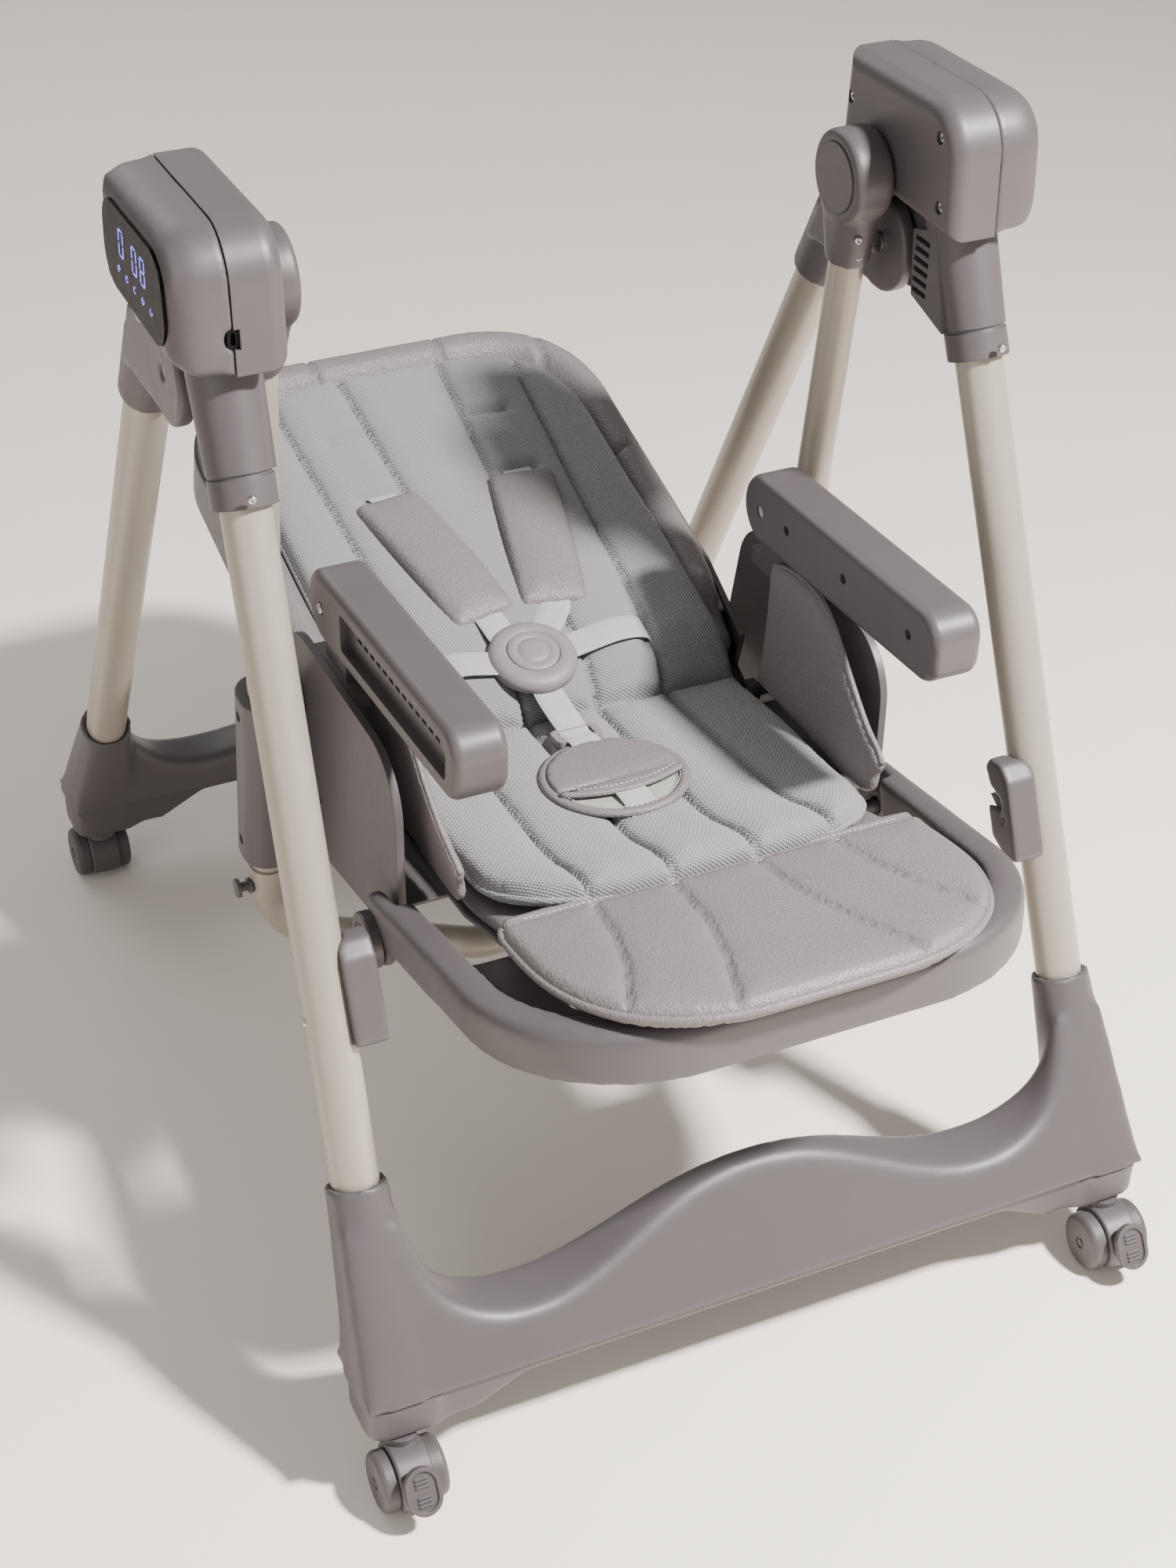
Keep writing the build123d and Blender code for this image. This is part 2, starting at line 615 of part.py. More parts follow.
# Lower tube: plugs into both arms and crosses under the seat in a forward bow.
arm_end = swing_axis + arm_dir * ARM_LOW
tube_corner = swing_axis + arm_dir * 624
with BuildPart() as lower_tube:
    with BuildLine() as tube_path:
        FilletPolyline(arm_end, tube_corner, (80, -17, 152), (-80, -17, 152),
                       (-tube_corner.X, tube_corner.Y, tube_corner.Z), (-arm_end.X, arm_end.Y, arm_end.Z),
                       radius=44)
    with BuildSketch(Plane(origin=arm_end, z_dir=arm_dir)):
        Circle(ARM_R)
        Circle(ARM_R - LEG_WALL, mode=Mode.SUBTRACT)
    sweep(path=tube_path.line)
    for tube_end in (arm_end, Vector(-arm_end.X, arm_end.Y, arm_end.Z)):
        with BuildSketch(Plane(origin=tube_end - arm_dir * 40, z_dir=arm_dir)):
            Circle(ARM_R - LEG_WALL - FIT)
            Circle(ARM_R - LEG_WALL - 2, mode=Mode.SUBTRACT)
        extrude(amount=41.5)
        with BuildSketch(Plane(origin=tube_end + arm_dir * 1, z_dir=arm_dir)):
            Circle(15.2)
            Circle(ARM_R - LEG_WALL - 2, mode=Mode.SUBTRACT)
        extrude(amount=12)
save(lower_tube, "lower_tube")

# Lock pins on the outer side of the lower tube.
pin_centre = swing_axis + arm_dir * 569
with BuildPart() as lock_pins:
    with BuildSketch(side_plane(244)):
        with Locations((pin_centre.Y, pin_centre.Z)):
            Circle(6.5)
    extrude(amount=3)
    with BuildSketch(side_plane(244)):
        with Locations((pin_centre.Y, pin_centre.Z)):
            Circle(4)
    extrude(amount=11)
    with BuildSketch(side_plane(254)):
        with Locations((pin_centre.Y, pin_centre.Z)):
            Circle(8)
    extrude(amount=3)
    mirror(about=Plane.YZ)
save(lock_pins, "lock_pins")

# ================================================================ seat
# Sleeves that slide on the arms and carry the seat shell.
with BuildPart() as height_sleeves:
    with BuildSketch(arm_plane.offset(366)):
        RectangleRounded(43, 48, 20)
    extrude(amount=166)
    with BuildSketch(side_plane(SHELL_X + 0.3)):
        Polygon((30, 398), (80, 392), (95, 262), (42, 262), align=None)
    extrude(amount=14)
    fillet(height_sleeves.edges().group_by(Axis.Z)[-1], 2)
    with BuildSketch(arm_plane.offset(360)):
        Circle(ARM_R + 0.3)
    extrude(amount=180, mode=Mode.SUBTRACT)
    with BuildSketch(arm_plane.offset(450)):
        with Locations((0, 0)):
            Circle(16.5)
            Circle(ARM_R + 0.3, mode=Mode.SUBTRACT)
    extrude(amount=-60, mode=Mode.SUBTRACT)
    for screw_s in (385, 515):
        screw_at = swing_axis + arm_dir * screw_s
        with BuildSketch(side_plane(247)):
            with Locations((screw_at.Y, screw_at.Z)):
                Circle(4.5)
        extrude(amount=6, mode=Mode.SUBTRACT)
    mirror(about=Plane.YZ)
save(height_sleeves, "height_sleeves")

# Seat shell: side walls, ribbed pan, front nose and two ears for the armrests.
with BuildPart() as seat_shell:
    with BuildSketch(side_plane(SHELL_X)) as shell_outline:
        Polygon((-163, 333), (-146, 292), (-4, 264), (98, 254), (98, 300), (64, 450), (-163, 452), align=None)
        fillet(shell_outline.vertices().sort_by(Axis.Y)[-2:], 48)
    extrude(amount=-2 * SHELL_X)
    with BuildSketch(side_plane(SHELL_X - SHELL_WALL)):
        Polygon((-170, 500), (-170, 331.7), (-5, 313), (-5, 200), (110, 200), (110, 500), align=None)
    extrude(amount=-2 * (SHELL_X - SHELL_WALL), mode=Mode.SUBTRACT)
    with BuildSketch(side_plane(SHELL_X - SHELL_WALL)):
        Polygon((-170, 327.7), (-9, 309.4), (-9, 200), (-170, 200), align=None)
    extrude(amount=-2 * (SHELL_X - SHELL_WALL), mode=Mode.SUBTRACT)
    with BuildSketch(side_plane(160)):
        Polygon((-150, 329.4), (-190, 334), (-261, 358.4), (-260, 354), (-190, 330), (-150, 325.4), align=None)
    extrude(amount=-320)
    for rib_x in (-120, -40, 40, 120):
        with BuildSketch(side_plane(rib_x - 1.5)):
            Polygon((-240, 348), (-190, 331), (-9, 310), (-9, 292), (-150, 308), align=None)
        extrude(amount=3)
    with BuildSketch(side_plane(176)):
        with BuildLine():
            Polyline((-38, 440), (-42, 502), (-19, 524), (2, 512), (4, 440), (-38, 440))
        make_face()
    extrude(amount=14)
    with BuildSketch(side_plane(-176)):
        with BuildLine():
            Polyline((-38, 440), (-42, 502), (-19, 524), (2, 512), (4, 440), (-38, 440))
        make_face()
    extrude(amount=-14)
    for flange_x in (176, -200):
        with BuildSketch(side_plane(flange_x)):
            Polygon((-60, 436), (20, 436), (20, 450), (-60, 450), align=None)
        extrude(amount=24)
    with BuildSketch(side_plane(-210)):
        with Locations((ARMREST_Y, ARMREST_Z)):
            Circle(5 + FIT)
        with Locations((REST_Y, REST_Z)):
            Circle(6 + FIT)
        with Locations((RECLINE_Y, RECLINE_Z)):
            Circle(6 + FIT)
    extrude(amount=420, mode=Mode.SUBTRACT)
save(seat_shell, "seat_shell")

# Leatherette seat cushion and the quilted liner on it.
with BuildPart() as seat_pad:
    with BuildSketch(side_plane(-158)):
        Polygon((-9, 314), (-9, 324.6), (-190, 345.4), (-262, 369.6), (-266, 360.8), (-190, 334.8), align=None)
    extrude(amount=316)
save(seat_pad, "seat_pad")

with BuildPart() as seat_liner:
    with BuildSketch(side_plane(-150)):
        Polygon((-9, 325), (-9, 345), (-190, 366), (-262, 391), (-270, 380), (-262, 370), (-190, 345.8),
                align=None)
    extrude(amount=300)
    fillet(seat_liner.edges().group_by(Axis.Y)[0].filter_by(Axis.X), 3)
save(seat_liner, "seat_liner")

# Padded leatherette side wings inside the shell's walls.
with BuildPart() as side_wings:
    with BuildSketch(side_plane(162)):
        Polygon((-22, 350), (-22, 456), (-60, 468), (-100, 468), (-130, 446), (-168, 412), (-206, 390), (-186, 352),
                align=None)
    extrude(amount=12)
    mirror(about=Plane.YZ)
save(side_wings, "side_wings")

# Armrest pivot pins in the shell's ears.
with BuildPart() as armrest_pins:
    with BuildSketch(side_plane(161)):
        with Locations((ARMREST_Y, ARMREST_Z)):
            Circle(5)
    extrude(amount=38)
    mirror(about=Plane.YZ)
save(armrest_pins, "armrest_pins")

# Crotch strap, its pad and the strap slider.
with BuildPart() as crotch_pad:
    with BuildSketch(Plane(origin=(-8, -119, 361), x_dir=(1, 0, 0), z_dir=(0, 0.12, 1))):
        Ellipse(54, 56)
    extrude(amount=8)
save(crotch_pad, "crotch_pad")

with BuildPart() as crotch_strap:
    with BuildSketch(side_plane(-20)):
        Polygon((-192, 368.6), (-178, 379), (-55, 364.2), (-45.5, 354), (-46.5, 352.4), (-56, 362.8),
                (-178, 377.4), (-192, 367), align=None)
    extrude(amount=25)
save(crotch_strap, "crotch_strap")

with BuildPart() as strap_slider:
    with BuildSketch(Plane(origin=(-8, -50, 357), x_dir=(1, 0, 0), z_dir=(0, 0.12, 1))):
        RectangleRounded(38, 21.6, 5)
        RectangleRounded(27, 14, 2, mode=Mode.SUBTRACT)
    extrude(amount=5)
save(strap_slider, "strap_slider")

# ================================================================ reclining back
# Back shell: dished tray with trunnions at its lower end.
with BuildPart() as back_shell:
    with BuildSketch(back_plane) as back_outline:
        Polygon((-176, 0), (176, 0), (188, 120), (189, 438), (-189, 438), (-188, 120), align=None)
        fillet(back_outline.vertices().group_by(Axis.Y)[-1], 105)
    extrude(amount=42)
    with BuildSketch(back_plane.offset(5)):
        add(back_outline.sketch_local)
        offset(amount=-5, mode=Mode.REPLACE)
    extrude(amount=60, mode=Mode.SUBTRACT)
    with BuildSketch(back_plane.offset(5)):
        with Locations((0, 0)):
            Rectangle(500, 60)
    extrude(amount=60, mode=Mode.SUBTRACT)
    with BuildSketch(side_plane(170)):
        with Locations((RECLINE_Y, RECLINE_Z)):
            Circle(10)
    extrude(amount=10)
    with BuildSketch(side_plane(170)):
        with Locations((RECLINE_Y, RECLINE_Z)):
            Circle(6)
    extrude(amount=29)
    with BuildSketch(side_plane(-180)):
        with Locations((RECLINE_Y, RECLINE_Z)):
            Circle(10)
    extrude(amount=10)
    with BuildSketch(side_plane(-199)):
        with Locations((RECLINE_Y, RECLINE_Z)):
            Circle(6)
    extrude(amount=29)
save(back_shell, "back_shell")

# Leatherette back cushion with raised side bolsters.
with BuildPart() as back_pad:
    with BuildSketch(back_plane.offset(5.3)) as back_pad_outline:
        Polygon((-166, 31), (166, 31), (181, 122), (183, 432), (-183, 432), (-181, 122), align=None)
        fillet(back_pad_outline.vertices().group_by(Axis.Y)[-1], 99)
    extrude(amount=33)
    with BuildSketch(back_plane.offset(38)) as bolster_outline:
        Polygon((-172, 72), (172, 72), (181, 122), (183, 432), (-183, 432), (-181, 122), align=None)
        fillet(bolster_outline.vertices().group_by(Axis.Y)[-1], 99)
        with Locations((0, 200)):
            Rectangle(316, 400, mode=Mode.SUBTRACT)
    extrude(amount=19)
save(back_pad, "back_pad")

# Quilted liner on the back cushion.
with BuildPart() as back_liner:
    with BuildSketch(back_plane.offset(38.6)) as liner_outline:
        Polygon((-148, 33), (148, 33), (154, 120), (154, 396), (-154, 396), (-154, 120), align=None)
        fillet(liner_outline.vertices().group_by(Axis.Y)[-1], 90)
    extrude(amount=21)
save(back_liner, "back_liner")

# Shoulder pads on the shoulder straps.
with BuildPart() as shoulder_pads:
    with BuildSketch(back_plane.offset(61)):
        Polygon((32, 236), (89, 229), (58, 84), (1.2, 92), align=None)
    extrude(amount=9)
    mirror(about=Plane.YZ)
save(shoulder_pads, "shoulder_pads")

# Webbing of the shoulder and waist straps.
with BuildPart() as harness_straps:
    with BuildSketch(back_plane.offset(62)):
        Polygon((17, 89.1), (41, 85.7), (18, 61.5), (3, 71), align=None)
        Polygon((-17, 89.1), (-41, 85.7), (-40, 64), (-24, 72), align=None)
        Polygon((24.6, 24), (24.6, 48), (96, 60), (94, 36), align=None)
        Polygon((-48.6, 24), (-48.6, 48), (-96, 58), (-94, 34), align=None)
        for slot_x in (-61, 61):
            with Locations((slot_x, 239.5)):
                Rectangle(26, 6)
    extrude(amount=2)
save(harness_straps, "harness_straps")

# Round five-point buckle and its release button.
buckle_plane = back_plane.offset(61)
with BuildPart() as buckle_body:
    with BuildSketch(buckle_plane):
        with Locations(BUCKLE_AT):
            Circle(BUCKLE_R)
    extrude(amount=16)
    fillet(buckle_body.edges().filter_by(GeomType.CIRCLE), 4)
    with BuildSketch(buckle_plane.offset(7)):
        with Locations(BUCKLE_AT):
            Circle(21.5)
    extrude(amount=12, mode=Mode.SUBTRACT)
    with BuildSketch(buckle_plane.offset(5)):
        with Locations((10, 65), (-34, 65), (23, 36), (-47, 36), (-12, 1)):
            Rectangle(12, 12)
    extrude(amount=5, mode=Mode.SUBTRACT)
save(buckle_body, "buckle_body")

with BuildPart() as buckle_button:
    with BuildSketch(buckle_plane.offset(10.5)):
        with Locations(BUCKLE_AT):
            Circle(21.1)
    extrude(amount=6.5)
    fillet(buckle_button.edges().group_by(Axis.Z)[-1], 1)
save(buckle_button, "buckle_button")

# ================================================================ footrest
# U-shaped rim with a slotted plate and two arms that reach back to the hinges.
with BuildPart() as footrest_frame:
    with BuildSketch(rest_plane.offset(-4)) as rim_outline:
        Polygon((-216, -6), (216, -6), (206, 292), (-206, 292), align=None)
        fillet(rim_outline.vertices().group_by(Axis.Y)[-1], 125)
    extrude(amount=42, taper=-5)
    fillet(footrest_frame.faces().filter_by(rest_plane).sort_by(Axis.Z)[-1].edges(), 9)
    with BuildSketch(rest_plane.offset(-5)) as rim_inner:
        Polygon((-194, -60), (194, -60), (184, 268), (-184, 268), align=None)
        fillet(rim_inner.vertices().group_by(Axis.Y)[-1], 105)
    extrude(amount=60, mode=Mode.SUBTRACT)
    with BuildSketch(rest_plane.offset(20)):
        add(rim_inner.sketch_local)
        with Locations((0, 15)):
            Rectangle(500, 200, mode=Mode.SUBTRACT)
        with Locations((0, 140), (0, 172), (0, 204)):
            Rectangle(290, 14, mode=Mode.SUBTRACT)
    extrude(amount=5)
    with BuildSketch(side_plane(203.2)):
        with Locations((REST_Y, REST_Z)):
            Circle(23)
    extrude(amount=12.6)
    with BuildSketch(side_plane(-203.2)):
        with Locations((REST_Y, REST_Z)):
            Circle(23)
    extrude(amount=-12.6)
    with BuildSketch(rest_plane.offset(-30)):
        with Locations((0, 0)):
            Rectangle(406.4, 56)
    extrude(amount=90, mode=Mode.SUBTRACT)
    with BuildSketch(side_plane(-230)):
        with Locations((REST_Y, REST_Z)):
            Circle(6)
    extrude(amount=460, mode=Mode.SUBTRACT)
    for recess_x in (216, -236):
        with BuildSketch(side_plane(recess_x)):
            with Locations((REST_Y, REST_Z)):
                Circle(25)
        extrude(amount=20, mode=Mode.SUBTRACT)
save(footrest_frame, "footrest_frame")

# Ratchet discs and hinge pins of the footrest.
with BuildPart() as footrest_discs:
    with BuildSketch(side_plane(216.4)):
        with Locations((REST_Y, REST_Z)):
            Circle(22)
    extrude(amount=9)
    fillet(footrest_discs.edges().group_by(Axis.X)[-1], 2)
    with BuildSketch(side_plane(224.4)):
        with Locations((REST_Y, REST_Z)):
            Circle(15)
            Circle(13, mode=Mode.SUBTRACT)
    extrude(amount=3, mode=Mode.SUBTRACT)
    with BuildSketch(side_plane(190)):
        with Locations((REST_Y, REST_Z)):
            Circle(5.98)
    extrude(amount=27)
    mirror(about=Plane.YZ)
save(footrest_discs, "footrest_discs")

# Leatherette calf pad lying on the footrest.
with BuildPart() as calf_pad:
    with BuildSketch(rest_plane.offset(38.6)) as calf_outline:
        Polygon((-166, 136), (166, 136), (160, 314), (-160, 314), align=None)
        fillet(calf_outline.vertices().group_by(Axis.Y)[-1], 112)
    extrude(amount=16)
    fillet(calf_pad.faces().sort_by(Axis.Z)[-1].edges(), 4)
save(calf_pad, "calf_pad")

# ================================================================ armrests
for side, sign in (("left", -1), ("right", 1)):
    with BuildPart() as armrest:
        with BuildSketch(side_plane(160)) as armrest_outline:
            Polygon((-19, 533), (-281, 551), (-279, 495), (-19, 475), align=None)
            fillet(armrest_outline.vertices().sort_by(Axis.X)[:2], 21)
            with Locations((ARMREST_Y, ARMREST_Z)):
                Circle(29)
        extrude(amount=40)
        fillet(armrest.faces().sort_by(Axis.X)[-1].edges(), 7)
        fillet(armrest.faces().sort_by(Axis.X)[0].edges(), 7)
        with BuildSketch(side_plane(174.8)):
            with Locations((ARMREST_Y, ARMREST_Z)):
                Circle(25.5)
            Polygon((-44, 460), (-44, 504), (-19, 528), (20, 528), (20, 460), align=None)
        extrude(amount=16.4, mode=Mode.SUBTRACT)
        with BuildSketch(side_plane(192)) as armrest_recess:
            Polygon((-60, 523), (-254, 537), (-264, 530), (-262, 508), (-60, 492), align=None)
            fillet(armrest_recess.vertices(), 5)
        extrude(amount=10, mode=Mode.SUBTRACT)
        with BuildSketch(side_plane(181)):
            with Locations(*[(-80 - 12.5 * i, 514 + 0.9 * i) for i in range(13)]):
                Rectangle(8.5, 13)
        extrude(amount=12, mode=Mode.SUBTRACT)
        with BuildSketch(side_plane(159)):
            with Locations((-62, 510), (-150, 516), (-244, 522)):
                Circle(4)
        extrude(amount=6, mode=Mode.SUBTRACT)
        with BuildSketch(side_plane(150)):
            with Locations((ARMREST_Y, ARMREST_Z)):
                Circle(5 + FIT)
        extrude(amount=60, mode=Mode.SUBTRACT)
        if sign < 0:
            mirror(about=Plane.YZ, mode=Mode.REPLACE)
    save(armrest, f"armrest_{side}")
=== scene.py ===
import json
import math

import bmesh
import bpy
import numpy as np
from mathutils import Matrix, Vector, geometry, noise


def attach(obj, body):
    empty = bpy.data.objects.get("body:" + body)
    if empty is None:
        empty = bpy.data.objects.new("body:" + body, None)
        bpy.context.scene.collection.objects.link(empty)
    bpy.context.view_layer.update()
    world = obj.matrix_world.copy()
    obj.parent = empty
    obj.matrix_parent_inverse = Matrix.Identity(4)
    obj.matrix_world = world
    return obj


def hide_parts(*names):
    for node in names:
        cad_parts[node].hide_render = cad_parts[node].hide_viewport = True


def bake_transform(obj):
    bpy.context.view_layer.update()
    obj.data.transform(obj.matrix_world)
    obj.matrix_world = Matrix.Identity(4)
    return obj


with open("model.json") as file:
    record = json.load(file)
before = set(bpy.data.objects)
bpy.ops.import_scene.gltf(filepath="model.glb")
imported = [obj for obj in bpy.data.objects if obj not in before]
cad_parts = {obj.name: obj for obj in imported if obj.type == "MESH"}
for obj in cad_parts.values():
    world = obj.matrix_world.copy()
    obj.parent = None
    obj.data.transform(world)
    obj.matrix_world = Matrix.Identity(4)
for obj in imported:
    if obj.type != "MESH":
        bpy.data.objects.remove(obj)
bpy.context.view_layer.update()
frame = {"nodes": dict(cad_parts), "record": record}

MM = 0.001

# ------------------------------------------------------------------ camera, floor and light
CAMERA_PLACE = Vector((-0.7096, -1.5839, 1.5148))
AZIMUTH, ELEVATION, ROLL = math.radians(-24.9), math.radians(35.46), math.radians(0.87)
LENS, SENSOR = 60.48, 36

backward = Vector((math.sin(AZIMUTH) * math.cos(ELEVATION), -math.cos(AZIMUTH) * math.cos(ELEVATION),
                   math.sin(ELEVATION)))
right = (-backward).cross(Vector((0, 0, 1))).normalized()
up = right.cross(-backward)
cam_right = right * math.cos(ROLL) + up * math.sin(ROLL)
cam_up = up * math.cos(ROLL) - right * math.sin(ROLL)
camera = bpy.data.objects.new("camera", bpy.data.cameras.new("camera"))
bpy.context.scene.collection.objects.link(camera)
camera.data.sensor_width = SENSOR
camera.data.lens = LENS
turn = Matrix((cam_right, cam_up, backward)).transposed().to_4x4()
camera.matrix_world = Matrix.Translation(CAMERA_PLACE) @ turn
bpy.context.scene.camera = camera


def area_light(name, place, target, size, power, colour=(1, 1, 1)):
    """Square area light at place, facing target."""
    lamp = bpy.data.objects.new(name, bpy.data.lights.new(name, "AREA"))
    bpy.context.scene.collection.objects.link(lamp)
    lamp.data.size = size
    lamp.data.energy = power
    lamp.data.color = colour
    lamp.location = place
    lamp.rotation_euler = (Vector(target) - Vector(place)).to_track_quat("-Z", "Y").to_euler()


area_light("key", (1.15, -1.5, 2.6), (0, -1.7, 0), 0.26, 330, (1, 0.965, 0.93))
area_light("fill", (-2.6, -1.6, 1.6), (0, 0, 0.4), 2.4, 26, (1, 0.985, 0.97))
area_light("rear", (-0.6, 2.6, 2.4), (0, 0, 0.5), 1.8, 22)
world = bpy.data.worlds.new("studio")
world.use_nodes = True
sky = world.node_tree.nodes["Background"]
sky.inputs["Color"].default_value = (0.88, 0.85, 0.82, 1)
sky.inputs["Strength"].default_value = 0.46
bpy.context.scene.world = world


# ------------------------------------------------------------------ materials
PATCH_SCALE = 14        # noise scale of the colour's patches
SMUDGE_SCALE = 90       # noise scale of the roughness's patches


def coordinates(tree, uv=False, flip=False):
    """Texture coordinates in metres: the object's own, or the strip's UVs."""
    source = tree.nodes.new("ShaderNodeTexCoord").outputs["UV" if uv else "Object"]
    if not flip:
        return source
    mapping = tree.nodes.new("ShaderNodeMapping")
    mapping.inputs["Scale"].default_value = (-1, 1, 1)
    tree.links.new(source, mapping.inputs["Vector"])
    return mapping.outputs["Vector"]


def texture(tree, kind, scale, uv=False):
    """Grey texture output; kind is pebble, noise, webbing or weave."""
    if kind == "pebble":
        node = tree.nodes.new("ShaderNodeTexVoronoi")
        node.feature = "SMOOTH_F1"
        node.inputs["Scale"].default_value = scale
        node.inputs["Smoothness"].default_value = 0.5
        tree.links.new(coordinates(tree, uv), node.inputs["Vector"])
        return node.outputs["Distance"]
    if kind == "noise":
        node = tree.nodes.new("ShaderNodeTexNoise")
        node.inputs["Scale"].default_value = scale
        node.inputs["Detail"].default_value = 4
        tree.links.new(coordinates(tree, uv), node.inputs["Vector"])
        return node.outputs["Fac"]
    waves = []
    for flip in (False, True):
        node = tree.nodes.new("ShaderNodeTexWave")
        node.wave_type = "BANDS"
        node.inputs["Scale"].default_value = scale
        node.inputs["Distortion"].default_value = 0.6
        node.inputs["Detail"].default_value = 1
        if kind == "webbing":
            node.bands_direction = "Y" if flip else "X"
            node.inputs["Scale"].default_value = scale * (1.0 if flip else 0.45)
            node.inputs["Distortion"].default_value = 0.1
            tree.links.new(coordinates(tree, uv), node.inputs["Vector"])
        else:
            node.bands_direction = "DIAGONAL"
            tree.links.new(coordinates(tree, uv, flip), node.inputs["Vector"])
        waves.append(node.outputs["Fac"])
    both = tree.nodes.new("ShaderNodeMath")
    both.operation = "MULTIPLY"
    tree.links.new(waves[0], both.inputs[0])
    tree.links.new(waves[1], both.inputs[1])
    return both.outputs[0]


def material(name, colour, rough, relief, shade=0.86, metallic=0.0, bevel=0.0, uv=False, **sockets):
    """Principled material: mottled colour, a fine texture as bump, optional rounded edges.
    relief is (kind, scale, height in metres, how much it darkens the colour)."""
    kind, scale, height, depth = relief
    made = bpy.data.materials.new(name)
    made.use_nodes = True
    tree = made.node_tree
    shader = tree.nodes["Principled BSDF"]
    shader.inputs["Metallic"].default_value = metallic
    for socket, value in sockets.items():
        shader.inputs[socket.replace("_", " ")].default_value = value
    mottle = tree.nodes.new("ShaderNodeMix")
    mottle.data_type = "RGBA"
    mottle.inputs[6].default_value = (*[c * shade for c in colour], 1)
    mottle.inputs[7].default_value = (*colour, 1)
    spread = tree.nodes.new("ShaderNodeMapRange")
    spread.inputs["From Min"].default_value = 0.3
    spread.inputs["From Max"].default_value = 0.7
    tree.links.new(texture(tree, "noise", PATCH_SCALE), spread.inputs["Value"])
    tree.links.new(spread.outputs["Result"], mottle.inputs["Factor"])
    colour_out = mottle.outputs[2]
    if depth:
        lines = tree.nodes.new("ShaderNodeMix")
        lines.data_type = "RGBA"
        lines.blend_type = "MULTIPLY"
        lines.inputs["Factor"].default_value = depth
        tree.links.new(colour_out, lines.inputs[6])
        tree.links.new(texture(tree, kind, scale, uv), lines.inputs[7])
        colour_out = lines.outputs[2]
    tree.links.new(colour_out, shader.inputs["Base Color"])
    rough_range = tree.nodes.new("ShaderNodeMapRange")
    rough_range.inputs["To Min"].default_value = rough - 0.05
    rough_range.inputs["To Max"].default_value = rough + 0.07
    tree.links.new(texture(tree, "noise", SMUDGE_SCALE), rough_range.inputs["Value"])
    tree.links.new(rough_range.outputs["Result"], shader.inputs["Roughness"])
    bump = tree.nodes.new("ShaderNodeBump")
    bump.inputs["Strength"].default_value = 1.0
    bump.inputs["Distance"].default_value = height
    tree.links.new(texture(tree, kind, scale, uv), bump.inputs["Height"])
    if bevel:
        edges = tree.nodes.new("ShaderNodeBevel")
        edges.samples = 4
        edges.inputs["Radius"].default_value = bevel
        tree.links.new(edges.outputs["Normal"], bump.inputs["Normal"])
    tree.links.new(bump.outputs["Normal"], shader.inputs["Normal"])
    return made


TAUPE = (0.078, 0.068, 0.072)
MATERIALS = {
    "frame_plastic": material("frame_plastic", TAUPE, 0.43, ("noise", 1400, 0.00006, 0), 0.95,
                              bevel=0.0012),
    "tube_paint": material("tube_paint", (0.36, 0.325, 0.275), 0.34, ("noise", 900, 0.00003, 0), 0.96,
                           metallic=0.25),
    "leatherette": material("leatherette", (0.185, 0.166, 0.171), 0.5, ("pebble", 520, 0.0005, 0.15),
                            0.94, Specular_IOR_Level=0.45),
    "liner": material("liner", (0.385, 0.387, 0.39), 0.85, ("weave", 170, 0.0009, 0.5), 0.95,
                      Sheen_Weight=0.25, Sheen_Roughness=0.5),
    "webbing": material("webbing", (0.52, 0.52, 0.53), 0.62, ("webbing", 260, 0.0004, 0.35), 0.95,
                        uv=True, Sheen_Weight=0.3),
    "buckle_plastic": material("buckle_plastic", (0.20, 0.180, 0.185), 0.5,
                               ("noise", 1800, 0.00012, 0), 0.95, bevel=0.0006),
    "display_gloss": material("display_gloss", (0.002, 0.002, 0.003), 0.35,
                              ("noise", 900, 0.00001, 0), Specular_IOR_Level=0.04),
    "circuit_board": material("circuit_board", (0.03, 0.16, 0.07), 0.45, ("noise", 500, 0.0001, 0)),
    "dark_plastic": material("dark_plastic", (0.006, 0.006, 0.006), 0.6, ("noise", 900, 0.0001, 0),
                             Specular_IOR_Level=0.1),
    "copper": material("copper", (0.70, 0.36, 0.20), 0.35, ("noise", 600, 0.0002, 0), metallic=1.0),
    "steel": material("steel", (0.56, 0.55, 0.54), 0.28, ("noise", 700, 0.00005, 0), metallic=1.0),
    "wheel_plastic": material("wheel_plastic", (0.075, 0.066, 0.068), 0.5, ("noise", 900, 0.0001, 0),
                              bevel=0.0008),
    "lining": material("lining", (0.40, 0.44, 0.40), 0.9, ("weave", 240, 0.0003, 0.2)),
    "thread": material("thread", (0.50, 0.455, 0.46), 0.7, ("noise", 3000, 0.0002, 0)),
    "grey_thread": material("grey_thread", (0.42, 0.42, 0.43), 0.8, ("noise", 3000, 0.0002, 0)),
    "glow": material("glow", (0.2, 0.15, 0.9), 0.4, ("noise", 900, 0.00002, 0),
                     Emission_Color=(0.30, 0.25, 1, 1), Emission_Strength=1.6),
    "floor": material("floor", (0.95, 0.875, 0.80), 0.75, ("noise", 400, 0.00005, 0), 0.985),
}
for part in frame["record"]["subparts"]:
    node_mesh = frame["nodes"][part["node"]].data
    node_mesh.materials.clear()
    node_mesh.materials.append(MATERIALS[part["material_slot"]])


